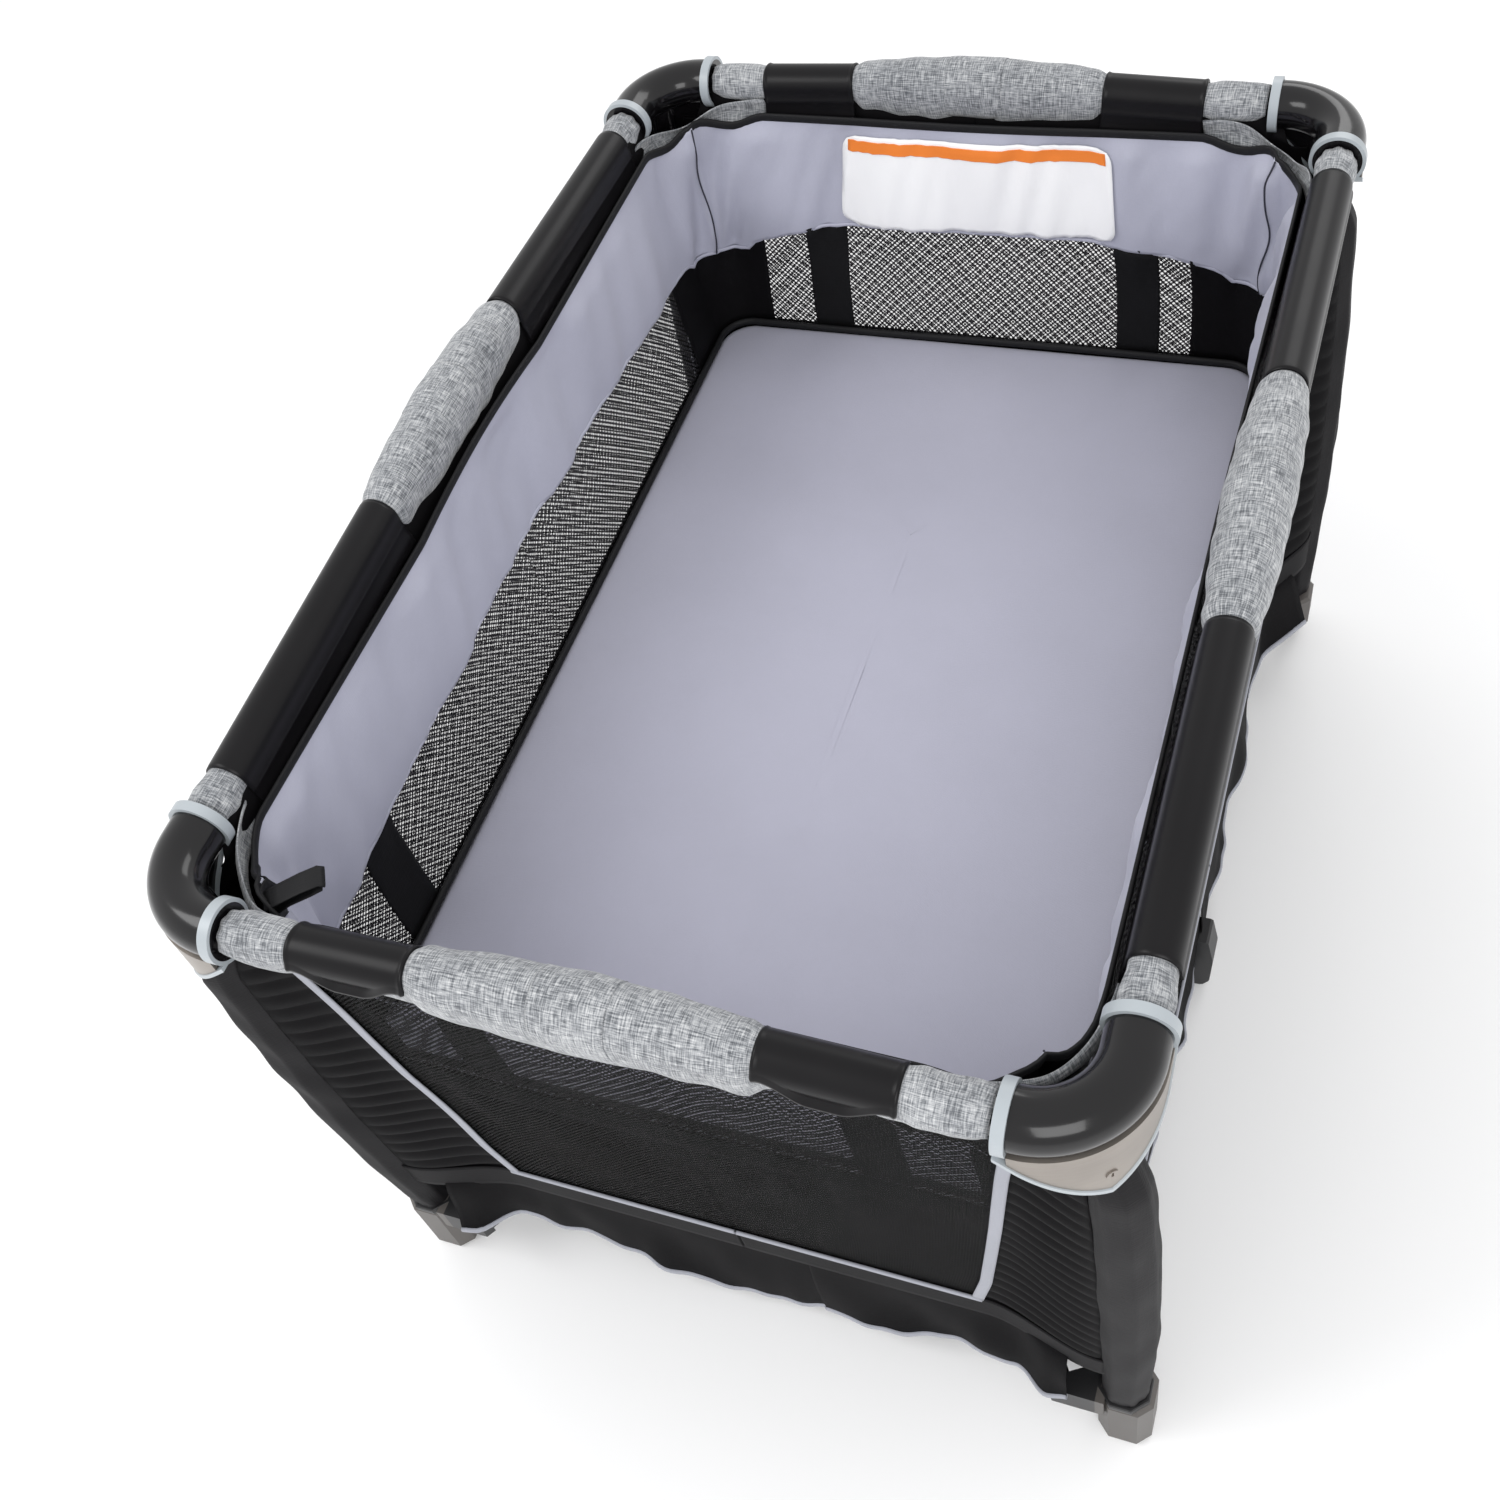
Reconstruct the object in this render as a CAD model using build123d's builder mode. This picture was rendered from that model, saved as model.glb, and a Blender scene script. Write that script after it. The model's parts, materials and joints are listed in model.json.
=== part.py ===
from build123d import *
import math
import os

os.makedirs("parts", exist_ok=True)

# All sizes are in millimetres. X runs across the yard, Y along it and Z up.
# The floor is Z = 0 and the yard is centred on X = Y = 0, with its front at -Y.
CORNERS = (("fl", -1, -1), ("fr", 1, -1), ("rl", -1, 1), ("rr", 1, 1))
UP = Vector(0, 0, 1)

# Top rails
RAIL_X = 325.0
RAIL_Y = 487.5
RAIL_Z = 660.0
PIVOT_X = 246.0
PIVOT_Y = 396.0
LATCH_PIVOT = 20.0
LOCK_ANGLE = math.radians(2.2)
RISE_SHORT = (PIVOT_X - LATCH_PIVOT) * math.tan(LOCK_ANGLE)
RISE_LONG = (PIVOT_Y - LATCH_PIVOT) * math.tan(LOCK_ANGLE)
RAIL_R = 12.0
TUBE_WALL = 1.5

# Riveted joints between two links
EAR_REACH = 14.0
EAR_R = 8.0
EAR_IN = 6.3
EAR_OUT = 10.3
PLUG_HALF = 6.0
PLUG_END = 22.0
PIN_R = 3.0
OPEN_PIN_R = 2.6
FIT = 0.05
VENT_R = 1.5

# Elbows
ELBOW_R = 20.0
BEND_R = 55.0
BEND_X = RAIL_X - BEND_R
BEND_Y = RAIL_Y - BEND_R
COLLAR_X = 260.0
COLLAR_Y = 410.0
COLLAR_T = 8.0
COLLAR_R = 23.0
WEB_IN = -8.0
WEB_OUT = 17.4
PLATE_IN = 17.5
PLATE_OUT = 20.5
PLATE_TOP = 650.0
LIP_IN = -10.0
LIP_OUT = 21.5
LIP_T = 4.0
SLOPE_X = 0.87
SLOPE_Y = 0.73
SLOPE_START = 645.0
SCREW_R = 4.0

# Legs and feet
LEG_TOP = Vector(316.0, 463.0, 643.0)
LEG_FOOT = Vector(329.0, 446.0, 45.0)
LEG_R = 12.5
BOSS_R = 16.0
FOOT_X = 330.0
FOOT_Y = 445.0
FOOT_W = 46.0
FOOT_H = 85.0
BRACKET_LOW = 60.0
BRACKET_HIGH = 92.0

# Folding floor frame
STRUT_R = 11.0
STRUT_X = 266.0
STRUT_Y = 442.5
STRUT_Z = 75.0
HUB_X = STRUT_X - (PIVOT_X - LATCH_PIVOT)
HUB_Y = STRUT_Y - (PIVOT_Y - LATCH_PIVOT)
HUB_Z = STRUT_Z - math.hypot(STRUT_X - HUB_X, STRUT_Y - HUB_Y) * math.tan(LOCK_ANGLE)
HUB_LOW = 46.0
HUB_HIGH = 72.0
MID_PIVOT = 58.0
MID_R = 10.0
MID_END = 308.0
CLEAR_FLOOR = 1.5

# Rear wheels and brakes
WHEEL_R = 28.0
WHEEL_W = 18.0
WHEEL_Y = 480.0
AXLE_R = 4.0
FORK_IN = 10.2
FORK_OUT = 14.2
LEVER_Y = 472.0
LEVER_Z = 66.0
LEVER_HALF = 9.6

# Fabric of the yard
PANEL_Y = 459.5
PANEL_X = 306.0
PANEL_T = 3.0
PANEL_LOW = 110.0
PANEL_HIGH = 630.0
SKIRT_LOW = 30.0
FLOOR_Z = 102.0
COVER_IN = 13.1
COVER_OUT = 14.1
BULGE_IN = 21.5
BULGE_OUT = 22.6

# Bassinet insert
MATTRESS_X = 279.0
MATTRESS_Y = 445.0
MATTRESS_LOW = 376.5
MATTRESS_HIGH = 405.0
WALL_LOW = 372.0
WALL_HIGH = 645.0
WALL_T = 3.0
WALL_LOW_X = 284.0
WALL_LOW_Y = 450.0
WALL_TOP_X = 297.0
WALL_TOP_Y = 457.0
CLIP_IN = 15.0
CLIP_OUT = 16.6
CLIP_DROP = 26.0
GRIP_DROP = 12.0


def save(shape, label):
    """Names a finished sub-part and writes its STEP file."""
    shape.label = label
    export_step(shape, f"parts/{label}.step")


def at_corner(shape, sx, sy):
    """Mirrors a part of the rear right corner to another corner."""
    if sx < 0:
        shape = mirror(shape, about=Plane.YZ)
    if sy < 0:
        shape = mirror(shape, about=Plane.XZ)
    return shape


def side_plane(origin, along):
    """The upright plane that holds a link: its X runs along the link and its Y up."""
    return Plane(origin=origin, x_dir=along, z_dir=along.cross(UP).normalized())


def cross_plane(origin, along):
    """The plane across a link, with its Y up."""
    return Plane(origin=origin, x_dir=UP.cross(along).normalized(), z_dir=along)


def clevis(pivot, outward, back, pin_r=PIN_R):
    """Two ears that stand out of a body, with the rivet across them."""
    face = side_plane(Vector(*pivot), Vector(*outward).normalized())
    with BuildPart() as ears:
        with BuildSketch(face):
            Circle(EAR_R)
            with Locations((-back / 2, 0)):
                Rectangle(back, 2 * EAR_R)
        extrude(amount=EAR_OUT, both=True)
        with BuildSketch(face):
            with Locations((-EAR_REACH, 0)):
                Rectangle(
                    EAR_REACH + 2 * EAR_R,
                    3 * EAR_R,
                    align=(Align.MIN, Align.CENTER),
                )
        extrude(amount=EAR_IN, both=True, mode=Mode.SUBTRACT)
        with BuildSketch(face):
            Circle(pin_r)
        extrude(amount=EAR_OUT, both=True)
    return ears.part


def link(start, end, tube_r):
    """A tube with a drilled flat plug at each end, from one rivet to the next."""
    start = Vector(*start)
    end = Vector(*end)
    length = (end - start).length
    along = (end - start).normalized()
    face = side_plane(start, along)
    with BuildPart() as bar:
        with BuildSketch(cross_plane(start + along * EAR_REACH, along)):
            Circle(tube_r)
        extrude(amount=length - 2 * EAR_REACH)
        with BuildSketch(cross_plane(start + along * PLUG_END, along)):
            Circle(tube_r - TUBE_WALL)
        extrude(amount=length - 2 * PLUG_END, mode=Mode.SUBTRACT)
        with BuildSketch(face):
            with Locations((0, 0), (length, 0)):
                Circle(EAR_R)
            with Locations((PLUG_END / 2, 0), (length - PLUG_END / 2, 0)):
                Rectangle(PLUG_END, 2 * EAR_R)
        extrude(amount=PLUG_HALF, both=True)
        with BuildSketch(face):
            with Locations((0, 0), (length, 0)):
                Circle(PIN_R + FIT)
        extrude(amount=PLUG_HALF, both=True, mode=Mode.SUBTRACT)
        with BuildSketch(Plane(origin=(start + end) / 2, z_dir=(0, 0, -1))):
            Circle(VENT_R)
        extrude(amount=2 * tube_r, mode=Mode.SUBTRACT)
    return bar.part


def bend_band(inner, outer, inset):
    """The plan of a wall that follows the elbow, between two offsets from its line."""
    r_in = BEND_R + inner
    r_out = BEND_R + outer
    x_end = COLLAR_X + inset
    y_end = COLLAR_Y + inset
    with BuildSketch() as band:
        with BuildLine():
            Line((x_end, BEND_Y + r_in), (BEND_X, BEND_Y + r_in))
            CenterArc((BEND_X, BEND_Y), r_in, 0, 90)
            Line((BEND_X + r_in, BEND_Y), (BEND_X + r_in, y_end))
            Line((BEND_X + r_in, y_end), (BEND_X + r_out, y_end))
            Line((BEND_X + r_out, y_end), (BEND_X + r_out, BEND_Y))
            CenterArc((BEND_X, BEND_Y), r_out, 0, 90)
            Line((BEND_X, BEND_Y + r_out), (x_end, BEND_Y + r_out))
            Line((x_end, BEND_Y + r_out), (x_end, BEND_Y + r_in))
        make_face()
    return band.sketch


def shield(inner, outer, inset, top, drop=0.0):
    """An upright wall along the elbow, cut off below by its two sloping edges."""
    band = bend_band(inner, outer, inset)
    lower_x = Plane(
        origin=(COLLAR_X + 2, 0, SLOPE_START - drop), z_dir=(SLOPE_X, 0, 1)
    )
    lower_y = Plane(
        origin=(0, COLLAR_Y + 2, SLOPE_START - drop), z_dir=(0, SLOPE_Y, 1)
    )
    with BuildPart() as wall:
        extrude(Plane.XY.offset(top) * band, amount=-120)
        split(bisect_by=lower_x, keep=Keep.TOP)
        split(bisect_by=lower_y, keep=Keep.TOP)
    return wall.part


leg_along = (LEG_TOP - LEG_FOOT).normalized()


def leg_bar(radius, low, high):
    """A round bar on the leg's own line, between two heights."""
    start = LEG_FOOT + leg_along * ((low - LEG_FOOT.Z) / leg_along.Z)
    with BuildPart() as bar:
        with BuildSketch(Plane(origin=start, z_dir=leg_along)):
            Circle(radius)
        extrude(amount=(high - low) / leg_along.Z)
    return bar.part


# Elbows: the moulded corner, its collars and lower lip, and the metal plate outside it.
boss = leg_bar(BOSS_R, 560.0, RAIL_Z - 8) & shield(-45, 60, -60, RAIL_Z)
with BuildPart() as elbow:
    add(shield(WEB_IN, WEB_OUT, COLLAR_T + 0.2, RAIL_Z))
    add(boss)
    with BuildSketch(Plane(origin=(COLLAR_X, RAIL_Y, RAIL_Z), z_dir=(1, 0, 0))):
        Circle(ELBOW_R)
    extrude(amount=BEND_X - COLLAR_X)
    with BuildSketch(Plane(origin=(RAIL_X, COLLAR_Y, RAIL_Z), z_dir=(0, 1, 0))):
        Circle(ELBOW_R)
    extrude(amount=BEND_Y - COLLAR_Y)
    with BuildSketch(Plane(origin=(RAIL_X, BEND_Y, RAIL_Z), z_dir=(0, 1, 0))):
        Circle(ELBOW_R)
    revolve(axis=Axis((BEND_X, BEND_Y, 0), (0, 0, 1)), revolution_arc=90)
    add(clevis((PIVOT_X, RAIL_Y, RAIL_Z), (-1, 0, 0), EAR_REACH + 2))
    add(clevis((RAIL_X, PIVOT_Y, RAIL_Z), (0, -1, 0), EAR_REACH + 2))
    add(leg_bar(LEG_R + FIT, 560.0, LEG_TOP.Z), mode=Mode.SUBTRACT)

with BuildPart() as elbow_trim:
    add(shield(LIP_IN, LIP_OUT, 0.0, RAIL_Z, LIP_T))
    add(shield(LIP_IN - 5, LIP_OUT + 5, -5.0, RAIL_Z + 5), mode=Mode.SUBTRACT)
    add(leg_bar(BOSS_R + 0.2, 560.0, RAIL_Z), mode=Mode.SUBTRACT)
    add(elbow.part, mode=Mode.SUBTRACT)
    for origin, facing in (
        ((COLLAR_X, RAIL_Y, RAIL_Z), (1, 0, 0)),
        ((RAIL_X, COLLAR_Y, RAIL_Z), (0, 1, 0)),
    ):
        with BuildSketch(Plane(origin=origin, z_dir=facing)):
            Circle(COLLAR_R)
            Circle(ELBOW_R + FIT, mode=Mode.SUBTRACT)
        extrude(amount=COLLAR_T)

screw_reach = (BEND_R + PLATE_OUT - 1) / math.sqrt(2)
with BuildPart() as elbow_plate:
    add(shield(PLATE_IN, PLATE_OUT, COLLAR_T + 0.2, PLATE_TOP))
    with BuildSketch(
        Plane(origin=(BEND_X + screw_reach, BEND_Y + screw_reach, 612), z_dir=(1, 1, 0))
    ):
        Circle(SCREW_R)
        Rectangle(1.6, 5.0, mode=Mode.SUBTRACT)
    extrude(amount=2.0)

# Feet: an eight-sided foot at the front and a wheel carrier at the rear.
strut_out = Vector(STRUT_X - HUB_X, STRUT_Y - HUB_Y, 0).normalized()
strut_side = strut_out.cross(UP)
foot_pivot = (STRUT_X, STRUT_Y, STRUT_Z)
face_mid = Vector(STRUT_X, STRUT_Y, 0) + strut_out * EAR_REACH
face_a = face_mid + strut_side * EAR_OUT
face_b = face_mid - strut_side * EAR_OUT
bracket_plan = (
    (face_a.X, face_a.Y),
    (face_b.X, face_b.Y),
    (270.0, 468.0),
    (314.0, 468.0),
    (314.0, 430.0),
)
foot_ears = clevis(foot_pivot, -strut_out, EAR_REACH + 2)

with BuildPart() as bracket:
    with BuildSketch(Plane.XY.offset(BRACKET_LOW)):
        Polygon(*bracket_plan, align=None)
    extrude(amount=BRACKET_HIGH - BRACKET_LOW)
    add(foot_ears)

with BuildPart() as front_foot:
    with BuildSketch(Plane.XY):
        with Locations((FOOT_X, FOOT_Y)):
            Rectangle(FOOT_W, FOOT_W)
        chamfer(vertices(), 11)
    extrude(amount=FOOT_H)
    chamfer(faces().sort_by(Axis.Z)[0].edges(), 3)
    chamfer(faces().sort_by(Axis.Z)[-1].edges(), 4)
    add(bracket.part)
    add(leg_bar(LEG_R + FIT, LEG_FOOT.Z, 120.0), mode=Mode.SUBTRACT)

fork_side = (
    (434.0, 96.0),
    (434.0, 52.0),
    (466.0, 14.0),
    (488.0, 14.0),
    (494.0, 30.0),
    (488.0, 76.0),
    (462.0, 96.0),
)
REAR_TUBE_LOW = 64.0
with BuildPart() as rear_foot:
    with BuildSketch(Plane.XY.offset(60.0)):
        with Locations((FOOT_X, 443.0)):
            Rectangle(44, 42)
        chamfer(vertices(), 9)
    extrude(amount=38.0)
    chamfer(faces().sort_by(Axis.Z)[-1].edges(), 3)
    with BuildSketch(Plane.YZ.offset(FOOT_X)):
        Polygon(*fork_side, align=None)
    extrude(amount=FORK_OUT, both=True)
    with BuildSketch(Plane.YZ.offset(FOOT_X)):
        with Locations((464.0, 0)):
            Rectangle(40, 120, align=(Align.MIN, Align.MIN))
        with Locations((WHEEL_Y, WHEEL_R)):
            Circle(WHEEL_R + 3)
    extrude(amount=FORK_IN, both=True, mode=Mode.SUBTRACT)
    with BuildSketch(Plane.YZ.offset(FOOT_X)):
        with Locations((WHEEL_Y, WHEEL_R)):
            Circle(AXLE_R)
        with Locations((LEVER_Y, LEVER_Z)):
            Circle(PIN_R)
    extrude(amount=FORK_OUT, both=True)
    add(bracket.part)
    add(leg_bar(LEG_R + FIT, REAR_TUBE_LOW, 120.0), mode=Mode.SUBTRACT)

with BuildPart() as wheel:
    with BuildSketch(Plane.YZ.offset(FOOT_X)):
        with Locations((WHEEL_Y, WHEEL_R)):
            Circle(WHEEL_R)
            Circle(AXLE_R + FIT, mode=Mode.SUBTRACT)
    extrude(amount=WHEEL_W / 2, both=True)
    chamfer(edges().filter_by(GeomType.CIRCLE).group_by(SortBy.RADIUS)[-1], 3)
    for sign in (-1, 1):
        with BuildSketch(Plane.YZ.offset(FOOT_X + sign * WHEEL_W / 2)):
            with Locations((WHEEL_Y, WHEEL_R)):
                Circle(WHEEL_R - 7)
                Circle(AXLE_R + 4, mode=Mode.SUBTRACT)
        extrude(amount=-sign * 4, mode=Mode.SUBTRACT)

with BuildPart() as brake_lever:
    with BuildSketch(Plane.YZ.offset(FOOT_X)):
        with Locations((LEVER_Y, LEVER_Z)):
            Circle(5)
        with Locations((LEVER_Y, 62.0)):
            Rectangle(34, 5, align=(Align.MIN, Align.MIN))
    extrude(amount=LEVER_HALF, both=True)
    with BuildSketch(Plane.XY.offset(62.0)):
        with Locations((FOOT_X, 502.0)):
            RectangleRounded(32, 12, 4)
    extrude(amount=6.0)
    with BuildSketch(Plane.YZ.offset(FOOT_X)):
        with Locations((LEVER_Y, LEVER_Z)):
            Circle(PIN_R + FIT)
    extrude(amount=LEVER_HALF, both=True, mode=Mode.SUBTRACT)

for tag, sx, sy in CORNERS:
    tube_low = LEG_FOOT.Z if sy < 0 else REAR_TUBE_LOW
    with BuildPart() as leg_tube:
        add(leg_bar(LEG_R, tube_low, LEG_TOP.Z))
        add(leg_bar(LEG_R - TUBE_WALL, tube_low - 5, LEG_TOP.Z + 5), mode=Mode.SUBTRACT)
    foot = front_foot if sy < 0 else rear_foot
    save(at_corner(leg_tube.part, sx, sy), f"leg_tube_{tag}")
    save(at_corner(elbow.part, sx, sy), f"elbow_{tag}")
    save(at_corner(elbow_trim.part, sx, sy), f"elbow_trim_{tag}")
    save(at_corner(elbow_plate.part, sx, sy), f"elbow_plate_{tag}")
    save(at_corner(foot.part, sx, sy), f"foot_{tag}")
    if sy > 0:
        save(at_corner(wheel.part, sx, sy), f"wheel_{tag}")
        save(at_corner(brake_lever.part, sx, sy), f"brake_lever_{tag}")

# Floor frame: four struts, two middle struts with their feet, and the hub they meet at.
for tag, sx, sy in CORNERS:
    floor_strut = link(
        (sx * STRUT_X, sy * STRUT_Y, STRUT_Z), (sx * HUB_X, sy * HUB_Y, HUB_Z), STRUT_R
    )
    save(floor_strut, f"floor_strut_{tag}")

mid_foot_side = (
    (301.0, 84.0),
    (320.0, 84.0),
    (326.0, 50.0),
    (324.0, 12.0),
    (317.0, CLEAR_FLOOR),
    (305.0, CLEAR_FLOOR),
    (299.0, 20.0),
)
mid_along = Vector(1, 0, 0)
mid_pivot = Vector(MID_PIVOT, 0, HUB_Z)
with BuildPart() as mid_strut:
    with BuildSketch(cross_plane(mid_pivot + mid_along * EAR_REACH, mid_along)):
        Circle(MID_R)
    extrude(amount=MID_END - MID_PIVOT - EAR_REACH)
    with BuildSketch(cross_plane(mid_pivot + mid_along * PLUG_END, mid_along)):
        Circle(MID_R - TUBE_WALL)
    extrude(amount=MID_END - MID_PIVOT - PLUG_END, mode=Mode.SUBTRACT)
    with BuildSketch(side_plane(mid_pivot, mid_along)):
        Circle(EAR_R)
        Rectangle(PLUG_END, 2 * EAR_R - 1, align=(Align.MIN, Align.CENTER))
        Circle(PIN_R + FIT, mode=Mode.SUBTRACT)
    extrude(amount=PLUG_HALF, both=True)
    with BuildSketch(Plane.XZ):
        Polygon(*mid_foot_side, align=None)
    extrude(amount=14, both=True)
    chamfer(edges().filter_by(Axis.Y).filter_by_position(Axis.X, 315, 330), 2)
    with BuildSketch(Plane(origin=(200, 0, HUB_Z), z_dir=(0, 0, -1))):
        Circle(VENT_R)
    extrude(amount=2 * MID_R, mode=Mode.SUBTRACT)
save(mid_strut.part, "mid_strut_r")
save(mirror(mid_strut.part, about=Plane.YZ), "mid_strut_l")

hub_a = Vector(HUB_X, HUB_Y, 0) - strut_out * EAR_REACH + strut_side * EAR_OUT
hub_b = Vector(HUB_X, HUB_Y, 0) - strut_out * EAR_REACH - strut_side * EAR_OUT
hub_plan = (
    (hub_a.X, hub_a.Y),
    (hub_b.X, hub_b.Y),
    (-hub_b.X, hub_b.Y),
    (-hub_a.X, hub_a.Y),
    (-hub_a.X, -hub_a.Y),
    (-hub_b.X, -hub_b.Y),
    (hub_b.X, -hub_b.Y),
    (hub_a.X, -hub_a.Y),
)
hub_ears = [
    clevis((sx * HUB_X, sy * HUB_Y, HUB_Z), (sx * strut_out.X, sy * strut_out.Y, 0), 18)
    for _, sx, sy in CORNERS
]
hub_ears += [clevis((sx * MID_PIVOT, 0, HUB_Z), (sx, 0, 0), 20) for sx in (-1, 1)]
with BuildPart() as center_hub:
    with BuildSketch(Plane.XY.offset(HUB_LOW)):
        Polygon(*hub_plan, align=None)
    extrude(amount=HUB_HIGH - HUB_LOW)
    chamfer(faces().sort_by(Axis.Z)[-1].edges(), 2)
    add(hub_ears)
    with BuildSketch(Plane.XY.offset(CLEAR_FLOOR)):
        Circle(18)
    extrude(amount=HUB_LOW)
    chamfer(faces().sort_by(Axis.Z)[0].edges(), 2)
save(center_hub.part, "center_hub")

with BuildPart() as hub_pull_strap:
    with BuildSketch(Plane.XY.offset(HUB_HIGH)):
        SlotOverall(110, 26, rotation=90)
    extrude(amount=2.0)
save(hub_pull_strap.part, "hub_pull_strap")

# Top rails: each is two half rails, a centre latch with its button, and a sleeve.
# The clips of the bassinet insert grip the same rails.
rails = (
    ("front", (-1, 0, 0), -RAIL_Y, 0),
    ("rear", (-1, 0, 0), RAIL_Y, 0),
    ("left", (0, -1, 0), -RAIL_X, 1),
    ("right", (0, -1, 0), RAIL_X, 1),
)


def latch_at(centre, along):
    """The centre latch: two ears and a floor, with a rivet for each half rail."""
    face = side_plane(centre, along)
    with BuildPart() as housing:
        with BuildSketch(face):
            SlotCenterToCenter(2 * LATCH_PIVOT, 2 * EAR_R)
            with Locations((0, -8)):
                Rectangle(48, 12)
        extrude(amount=EAR_OUT, both=True)
        with BuildSketch(face):
            Rectangle(80, 20)
        extrude(amount=EAR_IN, both=True, mode=Mode.SUBTRACT)
        with BuildSketch(face):
            with Locations((LATCH_PIVOT, 0)):
                Circle(OPEN_PIN_R)
            with Locations((-LATCH_PIVOT, 0)):
                Circle(PIN_R)
        extrude(amount=EAR_OUT, both=True)
        with BuildSketch(Plane(origin=centre - UP * 30)):
            Circle(PLUG_HALF + FIT)
        extrude(amount=24, mode=Mode.SUBTRACT)
    return housing.part


def button_at(centre, along):
    """The release button: a round end below the latch, and a bar between its ears."""
    with BuildPart() as button:
        with BuildSketch(Plane(origin=centre - UP * 18.5)):
            Circle(PLUG_HALF)
        extrude(amount=10)
        with BuildSketch(side_plane(centre, along)):
            with Locations((0, -8)):
                Rectangle(22, 3)
        extrude(amount=PLUG_HALF - FIT, both=True)
        chamfer(faces().sort_by(Axis.Z)[0].edges(), 1.5)
    return button.part


def cover_at(corner, along, half, clip_to):
    """Half of a rail's sleeve: it is slim under the clip and full over the latch."""
    outline = (
        (2.0, COVER_IN),
        (2.0, COVER_OUT),
        (clip_to, COVER_OUT),
        (half - 46, BULGE_OUT),
        (half + 40, BULGE_OUT),
        (half + 40, BULGE_IN),
        (half - 44, BULGE_IN),
        (clip_to + 2, COVER_IN),
    )
    face = side_plane(corner, along)
    centre = corner + along * (half / along.dot(Vector(along.X, along.Y, 0).normalized()))
    centre_plane = Plane(origin=centre, z_dir=Vector(-along.X, -along.Y, 0))
    with BuildPart() as sleeve:
        with BuildSketch(face):
            Polygon(*outline, align=None)
        revolve(axis=Axis(corner, along))
        split(bisect_by=centre_plane, keep=Keep.TOP)
        mirror(about=centre_plane)
    return sleeve.part


def clip_at(corner, along, inward, start, end, reach, grip):
    """A clip over a half rail, with its flange down to the bassinet's edge."""
    section = cross_plane(corner + along * start, along)
    sign = 1 if section.x_dir.dot(inward) > 0 else -1
    flange = (
        (sign * CLIP_IN, 0.5),
        (sign * CLIP_OUT, 0.5),
        (sign * reach, -CLIP_DROP),
        (sign * (reach - 1.8), -CLIP_DROP),
    )
    with BuildPart() as clip:
        with BuildSketch(section):
            Circle(CLIP_OUT)
            Circle(CLIP_IN, mode=Mode.SUBTRACT)
            Rectangle(60, 40, align=(Align.CENTER, Align.MAX), mode=Mode.SUBTRACT)
            Polygon(*flange, align=None)
        extrude(amount=end - start)
        if grip:
            middle = corner + along * ((start + end) / 2 - 28)
            with BuildSketch(cross_plane(middle, along)):
                with Locations((-sign * (CLIP_IN + CLIP_OUT) / 2, 1)):
                    Rectangle(
                        CLIP_OUT - CLIP_IN,
                        GRIP_DROP + 1,
                        align=(Align.CENTER, Align.MAX),
                    )
            extrude(amount=56)
    return clip.part


clips = []
for name, first_end, offset, is_long in rails:
    run = Vector(0, 1, 0) if is_long else Vector(1, 0, 0)
    across = Vector(1, 0, 0) if is_long else Vector(0, 1, 0)
    pivot = PIVOT_Y if is_long else PIVOT_X
    rise = RISE_LONG if is_long else RISE_SHORT
    inward = across * (-1 if offset > 0 else 1)
    line = across * offset + UP * RAIL_Z
    centre = line + UP * rise
    save(latch_at(centre, run), f"latch_housing_{name}")
    save(button_at(centre, run), f"latch_button_{name}")
    ends = (("a", -1), ("b", 1))
    clip_range = (10.0, 276.0) if is_long else (41.0, 130.0)
    reach = RAIL_X - WALL_TOP_X - 0.2 if is_long else RAIL_Y - WALL_TOP_Y - 0.2
    for end, sign in ends:
        corner = line + run * (sign * pivot)
        latch_end = centre + run * (sign * LATCH_PIVOT)
        along = (latch_end - corner).normalized()
        save(link(corner, latch_end, RAIL_R), f"rail_tube_{name}_{end}")
        clips.append(clip_at(corner, along, inward, *clip_range, reach, not is_long))
    corner = line - run * pivot
    along = (centre - run * LATCH_PIVOT - corner).normalized()
    save(cover_at(corner, along, pivot, clip_range[1] + 3), f"rail_cover_{name}")

rail_clips = Compound(children=clips)
save(rail_clips, "rail_clips")

# Fabric of the yard: four walls and the floor over the struts.
with BuildPart() as front_panel:
    with BuildSketch(Plane.XZ.offset(-PANEL_Y)):
        with Locations((0, PANEL_LOW)):
            Rectangle(
                580, PANEL_HIGH - PANEL_LOW, align=(Align.CENTER, Align.MIN)
            )
        with Locations((0, SKIRT_LOW)):
            Rectangle(490, 100, align=(Align.CENTER, Align.MIN))
    extrude(amount=-PANEL_T)
save(front_panel.part, "side_panel_rear")
save(mirror(front_panel.part, about=Plane.XZ), "side_panel_front")

with BuildPart() as long_panel:
    with BuildSketch(Plane.YZ.offset(PANEL_X)):
        with Locations((0, PANEL_LOW)):
            Rectangle(
                850, PANEL_HIGH - PANEL_LOW, align=(Align.CENTER, Align.MIN)
            )
    extrude(amount=PANEL_T)
save(long_panel.part, "side_panel_right")
save(mirror(long_panel.part, about=Plane.YZ), "side_panel_left")

with BuildPart() as floor_fabric:
    with BuildSketch(Plane.XY.offset(FLOOR_Z)):
        Rectangle(600, 900)
        chamfer(vertices(), 30)
    extrude(amount=2.0)
save(floor_fabric.part, "floor_fabric")

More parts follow.
